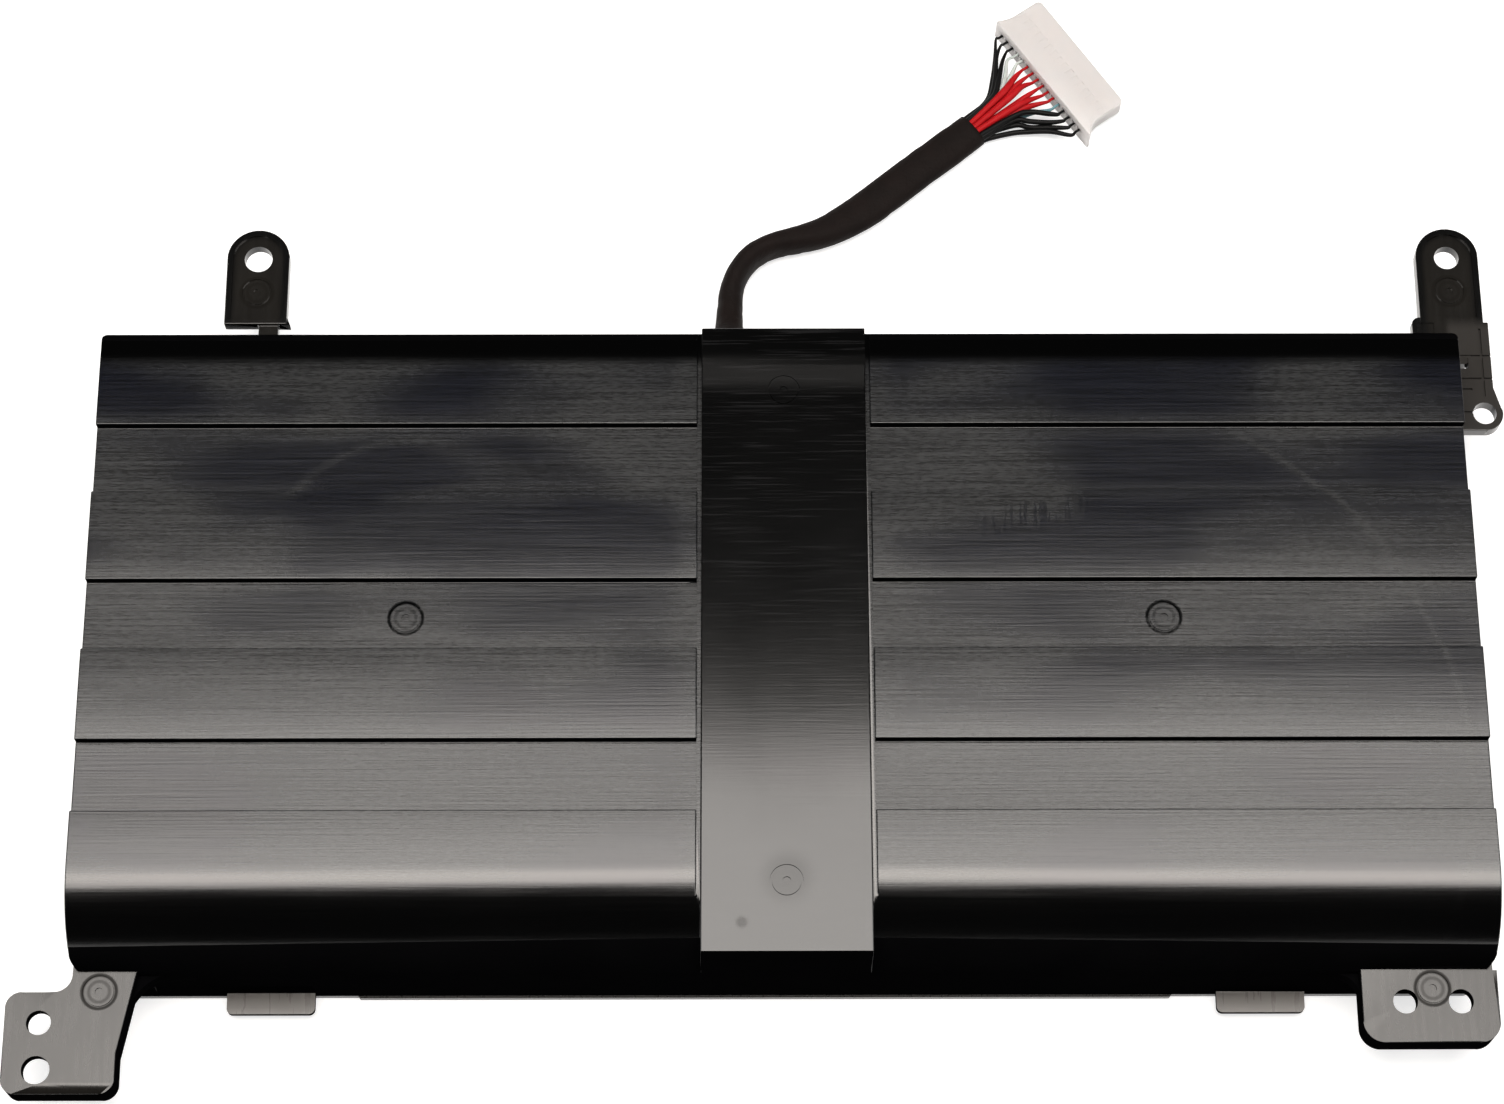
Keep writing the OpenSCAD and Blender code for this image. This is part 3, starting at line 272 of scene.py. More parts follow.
def brushed_case(tone, rubbed):
    """PC/ABS, moulded in a finely brushed tool: satin black lands that take a broad sheen."""
    material, tree = new_material("moulded_pc_abs_brushed")
    place = millimetres(tree)
    axes = add(tree, "ShaderNodeSeparateXYZ", {"Vector": place})
    y = axes.outputs["Y"]
    # the brush lines run along the pack, about 0.3 mm apart
    drawn = add(tree, "ShaderNodeMapping", {"Vector": place, "Scale": (0.06, 4.0, 1.0)})
    lines = add(tree, "ShaderNodeTexNoise", {"Vector": drawn, "Scale": 1.0, "Detail": 4.0, "Roughness": 0.7})
    short = add(tree, "ShaderNodeMapping", {"Vector": place, "Scale": (1.0, 7.0, 1.0)})
    fine = add(tree, "ShaderNodeTexNoise", {"Vector": short, "Scale": 1.0, "Detail": 2.0})
    both = add(tree, "ShaderNodeMath", {0: lines, 1: fine}, operation="ADD")
    lit = add(tree, "ShaderNodeMapRange", {"Value": both, "From Min": 0.75, "From Max": 1.25,
                                           "To Min": 0.25, "To Max": 1.8})
    wear = face_wear(tree, place, axes)
    colour = add(tree, "ShaderNodeMix", {FACTOR: wear, COLOUR_A: linear(tone), COLOUR_B: linear(rubbed)},
                 data_type="RGBA")
    # painted shade: the colour is faded to black over the slope along the far edge and the round of the near
    # edge, where these faces stand dark in this light
    edge_shade_factor = patch(tree, (y, 34.5, 32.5), (y, -31.5, -29.0))
    lit = add(tree, "ShaderNodeMath", {0: lit, 1: edge_shade_factor}, operation="MULTIPLY")
    rings = pin_rings(tree, place, BAND_MARKS)
    # painted shade: the colour darkens in thin rings at the edges of the band's ejector marks, as if their
    # sunk rings lay in shade
    ring_shade_factor = add(tree, "ShaderNodeMath", {0: rings, 1: -0.9, 2: 1.0}, operation="MULTIPLY_ADD",
               use_clamp=True)
    lit = add(tree, "ShaderNodeMath", {0: lit, 1: ring_shade_factor}, operation="MULTIPLY")
    shade = add(tree, "ShaderNodeVectorMath", {0: colour, "Scale": lit}, operation="SCALE")
    # the brush lines and the worn patches both dull the sheen a little
    rough = add(tree, "ShaderNodeMapRange", {"Value": lines, "From Min": 0.25, "From Max": 0.75,
                                             "To Min": 0.13, "To Max": 0.19})
    rough = add(tree, "ShaderNodeMath", {0: wear, 1: 0.03, 2: rough}, operation="MULTIPLY_ADD")
    # the far slope and the rings of the marks throw no sheen
    dark = add(tree, "ShaderNodeMath", {0: patch(tree, (y, 33.0, 35.6)), 1: rings}, operation="MAXIMUM")
    sheen = add(tree, "ShaderNodeMath", {0: dark, 1: -0.75, 2: 1.0}, operation="MULTIPLY_ADD",
                use_clamp=True)
    rough = add(tree, "ShaderNodeMath", {0: rough, 1: sheen}, operation="MULTIPLY")
    bump = add(tree, "ShaderNodeBump", {"Height": lines, "Strength": 0.16, "Distance": 0.00004})
    shader = add(tree, "ShaderNodeBsdfPrincipled", {"Base Color": shade, "Roughness": rough,
                                                    "IOR": RESIN_IOR, "Normal": bump})
    add(tree, "ShaderNodeOutputMaterial", {"Surface": shader})
    return material


def strip_case(tone):
    """The same resin against polished steel: a deep black strip with fine handling scratches."""
    material, tree = new_material("moulded_pc_abs_gloss")
    place = millimetres(tree)
    # scratches about 0.2 mm apart, along the pack
    drawn = add(tree, "ShaderNodeMapping", {"Vector": place, "Scale": (0.12, 5.0, 1.0)})
    hair = add(tree, "ShaderNodeTexNoise", {"Vector": drawn, "Scale": 1.0, "Detail": 3.0})
    colour = add(tree, "ShaderNodeMix", {FACTOR: patch(tree, (hair, 0.56, 0.68)), COLOUR_A: linear(tone),
                                         COLOUR_B: linear("#1c1c1d")}, data_type="RGBA")
    haze = add(tree, "ShaderNodeTexNoise", {"Vector": place, "Scale": 0.09, "Detail": 3.0})
    rough = add(tree, "ShaderNodeMath", {0: haze, 1: 0.05, 2: 0.08}, operation="MULTIPLY_ADD")
    # hands dull the far end, short of its slope
    y = add(tree, "ShaderNodeSeparateXYZ", {"Vector": place}).outputs["Y"]
    areas = [(0.1, patch(tree, (y, 28.8, 31.5), (y, 35.2, 33.6)))]
    # a dull ring lies round the near ejector mark, and a smudge beside it
    spots = [((0.4, -29.6, 20.8), 4.0, 1.5, 0.08), ((-4.7, -34.7, 20.8), 1.0, 0.3, 0.2)]
    for spot, start, end, amount in spots:
        away = add(tree, "ShaderNodeVectorMath", {0: place, 1: spot}, operation="DISTANCE")
        areas.append((amount, patch(tree, (away, start, end))))
    for amount, area in areas:
        rough = add(tree, "ShaderNodeMath", {0: area, 1: amount, 2: rough}, operation="MULTIPLY_ADD")
    bump = add(tree, "ShaderNodeBump", {"Height": hair, "Strength": 0.05, "Distance": 0.00003})
    shader = add(tree, "ShaderNodeBsdfPrincipled", {"Base Color": colour, "Roughness": rough,
                                                    "IOR": RESIN_IOR, "Normal": bump})
    add(tree, "ShaderNodeOutputMaterial", {"Surface": shader})
    return material


def wall_case(name, tone, sheen):
    """The same resin off spark-eroded tool walls: a dull black with little sheen or none."""
    material, tree = new_material(name)
    place = millimetres(tree)
    # spark grain of about 0.1 mm, drawn at 0.3 mm so that it shows
    grain = add(tree, "ShaderNodeTexNoise", {"Vector": place, "Scale": 3.3, "Detail": 2.0})
    haze = add(tree, "ShaderNodeTexNoise", {"Vector": place, "Scale": 0.12, "Detail": 4.0})
    colour = add(tree, "ShaderNodeMix", {FACTOR: haze, COLOUR_A: linear(tone), COLOUR_B: linear("#0a0a0b")},
                 data_type="RGBA")
    bump = add(tree, "ShaderNodeBump", {"Height": grain, "Strength": 0.25, "Distance": 0.00003})
    shader = add(tree, "ShaderNodeBsdfPrincipled", {"Base Color": colour, "Roughness": 0.6,
                                                    "Specular IOR Level": sheen, "Normal": bump})
    add(tree, "ShaderNodeOutputMaterial", {"Surface": shader})
    return material


def ear_case(name, tone, other):
    """The same resin on the ears and tabs: plain satin, with a faint grain across."""
    material, tree = new_material(name)
    place = millimetres(tree)
    axes = add(tree, "ShaderNodeSeparateXYZ", {"Vector": place})
    x, y = axes.outputs["X"], axes.outputs["Y"]
    across = add(tree, "ShaderNodeMapping", {"Vector": place, "Scale": (1.6, 0.15, 1.0)})
    flow = add(tree, "ShaderNodeTexNoise", {"Vector": across, "Scale": 1.0, "Detail": 4.0})
    haze = add(tree, "ShaderNodeTexNoise", {"Vector": place, "Scale": 0.22, "Detail": 3.0})
    colour = add(tree, "ShaderNodeMix", {FACTOR: haze, COLOUR_A: linear(tone), COLOUR_B: linear(other)},
                 data_type="RGBA")
    # painted shade: the rims of the ears are painted near black round their paler middles, standing in for
    # the shade on the soft roll of the rims
    outside_rim_shade = patch(tree, (y, 38.0, 20.0))
    for ear_x, ear_y in EARS:
        past = add(tree, "ShaderNodeMath", {0: y, 1: ear_y}, operation="MAXIMUM")
        spot = add(tree, "ShaderNodeCombineXYZ", {"X": x, "Y": past})
        away = add(tree, "ShaderNodeVectorMath", {0: spot, 1: (ear_x, ear_y, 0.0)}, operation="DISTANCE")
        outside_rim_shade = add(tree, "ShaderNodeMath", {0: outside_rim_shade, 1: patch(tree, (away, 3.4, 2.4))}, operation="MAXIMUM")
    colour = add(tree, "ShaderNodeMix", {FACTOR: outside_rim_shade, COLOUR_A: linear("#070707"), COLOUR_B: colour},
                 data_type="RGBA")
    # the arm beside the right end wall is paler all over
    arm = patch(tree, (x, 80.6, 81.6), (y, 43.5, 41.5), (y, 0.0, 10.0))
    colour = add(tree, "ShaderNodeMix", {FACTOR: arm, COLOUR_A: colour, COLOUR_B: linear("#343230")},
                 data_type="RGBA")
    # the near tabs are duller than the far ears, and most of all in the rings of their marks
    rough = add(tree, "ShaderNodeMath", {0: flow, 1: 0.1, 2: 0.1}, operation="MULTIPLY_ADD")
    for amount, area in ((0.13, patch(tree, (y, 0.0, -35.0))), (0.5, pin_rings(tree, place, TAB_MARKS))):
        rough = add(tree, "ShaderNodeMath", {0: area, 1: amount, 2: rough}, operation="MULTIPLY_ADD")
    # the rings on the ears throw no sheen
    sheen = add(tree, "ShaderNodeMath", {0: pin_rings(tree, place, EAR_MARKS), 1: -0.8, 2: 1.0},
                operation="MULTIPLY_ADD", use_clamp=True)
    rough = add(tree, "ShaderNodeMath", {0: rough, 1: sheen}, operation="MULTIPLY")
    bump = add(tree, "ShaderNodeBump", {"Height": flow, "Strength": 0.12, "Distance": 0.00004})
    shader = add(tree, "ShaderNodeBsdfPrincipled", {"Base Color": colour, "Roughness": rough,
                                                    "IOR": RESIN_IOR, "Normal": bump})
    add(tree, "ShaderNodeOutputMaterial", {"Surface": shader})
    return material


def sleeve_cloth(tone):
    """Acetate cloth tape over the wires: brownish black, with a fine weave and soft creases."""
    material, tree = new_material("acetate_cloth_tape")
    place = millimetres(tree)
    # threads of 0.2 mm, drawn 0.4 mm apart so that they show
    weave = add(tree, "ShaderNodeTexVoronoi", {"Vector": place, "Scale": 2.4, "Randomness": 0.7})
    fold = add(tree, "ShaderNodeTexNoise", {"Vector": place, "Scale": 0.35, "Detail": 4.0})
    lift = add(tree, "ShaderNodeMath", {0: weave, 1: 0.25, 2: fold}, operation="MULTIPLY_ADD")
    colour = add(tree, "ShaderNodeMix", {FACTOR: fold, COLOUR_A: linear(tone), COLOUR_B: linear("#1c1412")},
                 data_type="RGBA")
    bump = add(tree, "ShaderNodeBump", {"Height": lift, "Strength": 0.5, "Distance": 0.0003})
    shader = add(tree, "ShaderNodeBsdfPrincipled", {"Base Color": colour, "Roughness": 0.7,
                                                    "Specular IOR Level": 0.12, "Normal": bump})
    add(tree, "ShaderNodeOutputMaterial", {"Surface": shader})
    return material


def wire_pvc(name, tone, other):
    """Extruded PVC insulation: soft gloss, slightly uneven in colour."""
    material, tree = new_material(name)
    place = millimetres(tree)
    tint = add(tree, "ShaderNodeTexNoise", {"Vector": place, "Scale": 0.8, "Detail": 2.0})
    colour = add(tree, "ShaderNodeMix", {FACTOR: tint, COLOUR_A: linear(tone), COLOUR_B: linear(other)},
                 data_type="RGBA")
    bump = add(tree, "ShaderNodeBump", {"Height": tint, "Strength": 0.2, "Distance": 0.0001})
    shader = add(tree, "ShaderNodeBsdfPrincipled", {"Base Color": colour, "Roughness": 0.5, "IOR": 1.53,
                                                    "Specular IOR Level": 0.15, "Normal": bump})
    add(tree, "ShaderNodeOutputMaterial", {"Surface": shader})
    return material


def nylon(tone):
    """Moulded natural nylon: milky white that lets a little light in, satin faced."""
    material, tree = new_material("moulded_nylon_natural")
    place = millimetres(tree)
    milk = add(tree, "ShaderNodeTexNoise", {"Vector": place, "Scale": 0.5, "Detail": 2.0})
    colour = add(tree, "ShaderNodeMix", {FACTOR: milk, COLOUR_A: linear(tone), COLOUR_B: linear("#dcd6d4")},
                 data_type="RGBA")
    bump = add(tree, "ShaderNodeBump", {"Height": milk, "Strength": 0.1, "Distance": 0.0001})
    shader = add(tree, "ShaderNodeBsdfPrincipled", {"Base Color": colour, "Roughness": 0.42, "IOR": 1.53,
                                                    "Subsurface Weight": 0.8, "Subsurface Scale": 0.003,
                                                    "Subsurface Radius": (1.0, 0.98, 0.95), "Normal": bump})
    add(tree, "ShaderNodeOutputMaterial", {"Surface": shader})
    return material


def plain_metal(name, tone, rough, grain):
    """Bare strip metal, rolled or tinned: a soft pull of the rolls along it."""
    material, tree = new_material(name)
    rolled = add(tree, "ShaderNodeMapping", {"Vector": millimetres(tree), "Scale": (grain, 0.3, 0.3)})
    pull = add(tree, "ShaderNodeTexNoise", {"Vector": rolled, "Scale": 1.0, "Detail": 4.0})
    darker = add(tree, "ShaderNodeHueSaturation", {"Color": linear(tone), "Value": 0.82})
    colour = add(tree, "ShaderNodeMix", {FACTOR: pull, COLOUR_A: linear(tone), COLOUR_B: darker},
                 data_type="RGBA")
    even = add(tree, "ShaderNodeMath", {0: pull, 1: 0.16, 2: rough}, operation="MULTIPLY_ADD")
    shader = add(tree, "ShaderNodeBsdfPrincipled", {"Base Color": colour, "Roughness": even,
                                                    "Metallic": 1.0})
    add(tree, "ShaderNodeOutputMaterial", {"Surface": shader})
    return material


def plain_solid(name, tone, other, rough, grain_mm, ior=1.5):
    """A cast, pressed or coated part inside the case: an even colour with its own small grain."""
    material, tree = new_material(name)
    place = millimetres(tree)
    grain = add(tree, "ShaderNodeTexNoise", {"Vector": place, "Scale": 1 / grain_mm, "Detail": 3.0})
    colour = add(tree, "ShaderNodeMix", {FACTOR: grain, COLOUR_A: linear(tone), COLOUR_B: linear(other)},
                 data_type="RGBA")
    even = add(tree, "ShaderNodeMath", {0: grain, 1: 0.14, 2: rough}, operation="MULTIPLY_ADD")
    bump = add(tree, "ShaderNodeBump", {"Height": grain, "Strength": 0.12, "Distance": 0.00004})
    shader = add(tree, "ShaderNodeBsdfPrincipled", {"Base Color": colour, "Roughness": even, "IOR": ior,
                                                    "Normal": bump})
    add(tree, "ShaderNodeOutputMaterial", {"Surface": shader})
    return material


# Shapes


def new_piece(name, mesh, material, slot_name, *nodes):
    """Link a finished mesh as a piece that rides on the pack and stands for CAD nodes."""
    piece = bpy.data.objects.new(name, mesh)
    bpy.context.scene.collection.objects.link(piece)
    if material is not None:
        mesh.materials.clear()
        mesh.materials.append(material)
    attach(piece, "root")
    if nodes:
        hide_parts(*nodes)
    return piece


def settled(obj):
    """The mesh that an object's modifiers make of it."""
    graph = bpy.context.evaluated_depsgraph_get()
    mesh = bpy.data.meshes.new_from_object(obj.evaluated_get(graph))
    mesh.name = obj.name
    return mesh


def dress(names, material):
    """Give carried-over CAD nodes their material."""
    for name in names:
        slots = NODES[name].data.materials
        slots.clear()
        slots.append(material)


def spline_through(points, steps):
    """Catmull-Rom points through rows of numbers, in any number of columns."""
    rows = [points[0]] + list(points) + [points[-1]]
    out = []
    for a, b, c, d in zip(rows, rows[1:], rows[2:], rows[3:]):
        for k in range(steps):
            u = k / steps
            out.append(tuple(0.5 * (2 * q + (r - p) * u + (2 * p - 5 * q + 4 * r - s) * u * u
                                    + (3 * q - p - 3 * r + s) * u ** 3) for p, q, r, s in zip(a, b, c, d)))
    return out + [tuple(points[-1])]


def unit(value):
    """A value held between nought and one."""
    return min(1.0, max(0.0, value))


def skin(bm, rings):
    """Join rings of corners with faces, each ring to the next, and close both ends."""
    for low, top in zip(rings, rings[1:]):
        for k in range(len(low)):
            j = (k + 1) % len(low)
            bm.faces.new((low[k], low[j], top[j], top[k]))
    bm.faces.new(rings[0])
    bm.faces.new(list(reversed(rings[-1])))


def sleeve_mesh(rows, sides, crease):
    """A soft flat tube along rows of x, y, z, half width and half height, in millimetres."""
    bm = bmesh.new()
    rings = []
    for i, row in enumerate(rows):
        here = Vector(row[:3])
        ahead = Vector(rows[min(i + 1, len(rows) - 1)][:3]) - Vector(rows[max(i - 1, 0)][:3])
        side = ahead.cross(Vector((0, 0, 1))).normalized()
        up = side.cross(ahead).normalized()
        ring = []
        for k in range(sides):
            a = 2 * math.pi * k / sides
            c, s = math.cos(a), math.sin(a)
            # a soft oval, a little fuller than an ellipse
            w = math.copysign(abs(c) ** 0.85, c) * row[3]
            h = math.copysign(abs(s) ** 0.85, s) * row[4]
            out = here + side * w + up * h
            # dents about a millimetre apart, and never a swelling
            ripple = noise.noise(out * 0.9) * crease
            out += (side * c + up * s) * min(ripple, 0.0)
            ring.append(bm.verts.new(out * MM))
        rings.append(ring)
    skin(bm, rings)
    bmesh.ops.recalc_face_normals(bm, faces=bm.faces)
    mesh = bpy.data.meshes.new("sleeve")
    bm.to_mesh(mesh)
    bm.free()
    mesh.shade_smooth()
    return mesh


def plug_point(u, v, z):
    """A point of the plug in millimetres: u along its row of ways, v into the socket."""
    row = Vector((math.sin(PLUG_TURN), -math.cos(PLUG_TURN), 0))
    way = Vector((math.cos(PLUG_TURN), math.sin(PLUG_TURN), 0))
    return Vector((PLUG_AT[0], PLUG_AT[1], z)) + row * u + way * v


def fan_rows(i, size):
    """Points of one wire, from inside the sleeve to its way: x, y, z and radius, in millimetres."""
    x, y, z = SLEEVE_ROUTE[-1][:3]
    side = Vector((math.sin(FAN_TURN), -math.cos(FAN_TURN), 0))
    way = Vector((math.cos(FAN_TURN), math.sin(FAN_TURN), 0))
    across, layer = BUNDLE[i]
    start = Vector((x, y + FAR_WALL, z))
    start += side * across * BUNDLE_STEP + Vector((0, 0, layer * BUNDLE_STEP))
    u = (i - MID_WAY) * size.pitch / MM
    high = size.way_height / MM
    rows = [start - way * 0.8, start + way * 0.7]
    bends = len(FAN[i])
    for k, (x, y) in enumerate(FAN[i]):
        # a wire leaves its layer of the bundle between three and seven tenths of its run
        keep = unit((0.7 - (k + 1) / (bends + 1)) / 0.4)
        if k == bends - 1:
            # the last bend lies straight before the wire's own way
            out = (Vector((x, y, 0)) - plug_point(0, 0, 0)).dot(plug_point(0, 1, 0) - plug_point(0, 0, 0))
            x, y = plug_point(u, min(out, -0.9), 0)[:2]
        rows.append(Vector((x, y, high + (start.z - high) * keep)))
    rows += [plug_point(u, -0.5, high), plug_point(u, 0.75, high)]
    full, thin = size.bundle_wire / MM / 2, size.leg_wire / MM / 2
    # a red wire swells a little where it leaves the bundle, and each is drawn thin at its way,
    # the last four later along their runs than the others
    swell = 0.45 if i in WIRE_WAYS["red"] else 0.0
    shoulder = 0.55 if i > 11 else 0.42
    out = []
    for k, row in enumerate(rows):
        share = k / (len(rows) - 1)
        wide = full * (1 + swell * max(0.0, 1 - abs(share - 0.4) / 0.25))
        out.append((*row, wide + (thin - wide) * unit((share - shoulder) / 0.3)))
    return out


def new_tree(name, inputs):
    """Start a geometry node tree; give back the tree and the node of its inputs."""
    tree = bpy.data.node_groups.new(name, "GeometryNodeTree")
    for label, kind in inputs.items():
        tree.interface.new_socket(label, in_out="INPUT", socket_type="NodeSocket" + kind)
    tree.interface.new_socket("Geometry", in_out="OUTPUT", socket_type="NodeSocketGeometry")
    return tree, add(tree, "NodeGroupInput")


def close_tree(tree, geometry, material):
    """End a geometry node tree with real geometry in its material."""
    real = add(tree, "GeometryNodeRealizeInstances", {"Geometry": geometry})
    named = add(tree, "GeometryNodeSetMaterial", {"Geometry": real, "Material": material})
    add(tree, "NodeGroupOutput", {"Geometry": named})
    return tree


def wire_tree():
    """Geometry nodes that draw each spline of a curve object as a round wire."""
    tree, given = new_tree("wire_run", {"Runs": "Object", "Sides": "Int", "Insulation": "Material"})
    given = given.outputs
    runs = add(tree, "GeometryNodeObjectInfo", {"Object": given["Runs"]}, transform_space="ORIGINAL")
    circle = add(tree, "GeometryNodeCurvePrimitiveCircle", {"Resolution": given["Sides"], "Radius": 1.0})
    thick = add(tree, "GeometryNodeInputRadius")
    body = add(tree, "GeometryNodeCurveToMesh", {"Curve": runs.outputs["Geometry"], "Scale": thick,
                                                 "Profile Curve": circle, "Fill Caps": True})
    smooth = add(tree, "GeometryNodeSetShadeSmooth", {"Geometry": body, "Shade Smooth": True})
    return close_tree(tree, smooth, given["Insulation"])


def plug_tree():
    """Geometry nodes that cut a row of wire mouths and latch windows into the plug's housing."""
    inputs = {"Geometry": "Geometry", "Ways": "Int", "Turn": "Float", "Nylon": "Material"}
    for name in ("First", "Step", "Mouth Size", "Window Size", "Window Shift"):
        inputs[name] = "Vector"
    tree, given = new_tree("plug_ways", inputs)
    given = given.outputs
    line = add(tree, "GeometryNodeMeshLine", {"Count": given["Ways"], "Start Location": given["First"],
                                              "Offset": given["Step"]}, mode="OFFSET")
    moved = add(tree, "GeometryNodeSetPosition", {"Geometry": line, "Offset": given["Window Shift"]})
    turn = add(tree, "ShaderNodeCombineXYZ", {"Z": given["Turn"]})
    housing = given["Geometry"]
    for points, size in ((line, "Mouth Size"), (moved, "Window Size")):
        block = add(tree, "GeometryNodeMeshCube", {"Size": given[size]})
        row = add(tree, "GeometryNodeInstanceOnPoints", {"Points": points, "Instance": block,
                                                         "Rotation": turn})
        cutter = add(tree, "GeometryNodeRealizeInstances", {"Geometry": row})
        housing = add(tree, "GeometryNodeMeshBoolean", {"Mesh 1": housing, "Mesh 2": cutter},
                      operation="DIFFERENCE")
    return close_tree(tree, housing, given["Nylon"])


def grown(obj, tree, inputs):
    """Run a node tree on an object once and give back the plain mesh."""
    modifier = obj.modifiers.new(tree.name, "NODES")
    modifier.node_group = tree
    ids = {item.name: item.identifier for item in tree.interface.items_tree
           if item.item_type == "SOCKET" and item.in_out == "INPUT"}
    for name, value in inputs.items():
        modifier[ids[name]] = value
    mesh = settled(obj)
    obj.modifiers.clear()
    return mesh


def plug_outline(size):
    """Outline of the housing seen from above, with a flared lug at each end of the wire side."""
    w = (2 * MID_WAY * size.pitch / MM + PLUG_MARGIN) / 2
    deep = size.plug_depth / MM
    r = PLUG_CORNER

    def flare(reach, tip=0.28, run=2.2, steps=7):
        """Points of a lug's concave side, from its tip to the end wall."""
        big = (reach * reach + run * run) / (2 * reach)
        turn = math.asin(min(1.0, run / big))
        turns = [turn * (1 - k / steps) for k in range(steps + 1)]
        return [(w + big - big * math.cos(a), tip + run - big * math.sin(a)) for a in turns]

    quarter = [k * math.pi / 10 for k in range(6)]
    out = [(-w - FIRST_LUG, 0.0), (w + LAST_LUG, 0.0)] + flare(LAST_LUG)
    out += [(w - r + r * math.cos(a), deep - r + r * math.sin(a)) for a in quarter]
    out += [(-w + r - r * math.sin(a), deep - r + r * math.cos(a)) for a in quarter]
    return out + [(-u, v) for u, v in reversed(flare(FIRST_LUG))]


# Settings


class CableSettings(bpy.types.PropertyGroup):
    """Sizes of the free cable and its plug."""
    pitch: bpy.props.FloatProperty(
        name="Way pitch", description="Distance between two wires at the plug",
        default=0.0011, min=0.0008, max=0.002, unit="LENGTH")
    way_height: bpy.props.FloatProperty(
        name="Way height", description="Height of the ways above the floor",
        default=0.0018, min=0.0012, max=0.003, unit="LENGTH")
    bundle_wire: bpy.props.FloatProperty(
        name="Wire", description="Diameter of a wire over its insulation",
        default=0.00070, min=0.0004, max=0.001, unit="LENGTH")
    leg_wire: bpy.props.FloatProperty(
        name="Wire leg", description="Diameter of a wire where it enters the plug",
        default=0.00034, min=0.0002, max=0.001, unit="LENGTH")
    plug_depth: bpy.props.FloatProperty(
        name="Plug depth", description="From the wire side to the mating face",
        default=0.0064, min=0.004, max=0.01, unit="LENGTH")
    plug_height: bpy.props.FloatProperty(
        name="Plug height", description="Thickness of the housing",
        default=0.0036, min=0.002, max=0.006, unit="LENGTH")
    crease: bpy.props.FloatProperty(
        name="Sleeve crease", description="Depth of the soft dents in the sleeve",
        default=0.00015, min=0.0, max=0.0006, unit="LENGTH")
    sides: bpy.props.IntProperty(
        name="Sides", description="Sides of a wire's round section", default=14, min=6, max=32)


class ColourSettings(bpy.types.PropertyGroup):
    """Colours of the outer materials, as sRGB hex codes."""
    case: bpy.props.StringProperty(
        name="Case", description="Cold black of the moulded case", default="#0b0d15")
    worn: bpy.props.StringProperty(
        name="Worn case", description="Paler grey where the case is rubbed", default="#272829")
    strip: bpy.props.StringProperty(
        name="Strip", description="Deep black of the smooth strip", default="#030303")
    wall: bpy.props.StringProperty(
        name="Wall", description="Dull black of the walls", default="#050506")
    ear: bpy.props.StringProperty(
        name="Ear", description="Black of the ears and tabs", default="#141312")
    sleeve: bpy.props.StringProperty(
        name="Sleeve", description="Brownish black of the sleeve", default="#0e0b0a")
    plug: bpy.props.StringProperty(
        name="Plug", description="Milky white of the plug", default="#d6d4d4")


class StageSettings(bpy.types.PropertyGroup):
    """Sizes and levels of the stage."""
    floor: bpy.props.FloatProperty(
        name="Floor", description="Side of the square floor", default=8.0, min=2.0, max=20.0, unit="LENGTH")
    top_light: bpy.props.FloatProperty(
        name="Top light", description="Power of the soft box overhead",
        default=8.7, min=0.0, max=100.0, unit="POWER")
    core_light: bpy.props.FloatProperty(
        name="Core light", description="Extra power of that box's middle",
        default=1.6, min=0.0, max=20.0, unit="POWER")
    side_light: bpy.props.FloatProperty(
        name="Side light", description="Power of each side box",
        default=4.0, min=0.0, max=100.0, unit="POWER")
    lens: bpy.props.FloatProperty(
        name="Lens", description="Focal length on a 36 mm wide sensor, in millimetres",
        default=85.45, min=20.0, max=200.0)


def settings():
    """The three groups of settings on the scene."""
    scene = bpy.context.scene
    return scene.battery_cable, scene.battery_colours, scene.battery_stage


# Operators


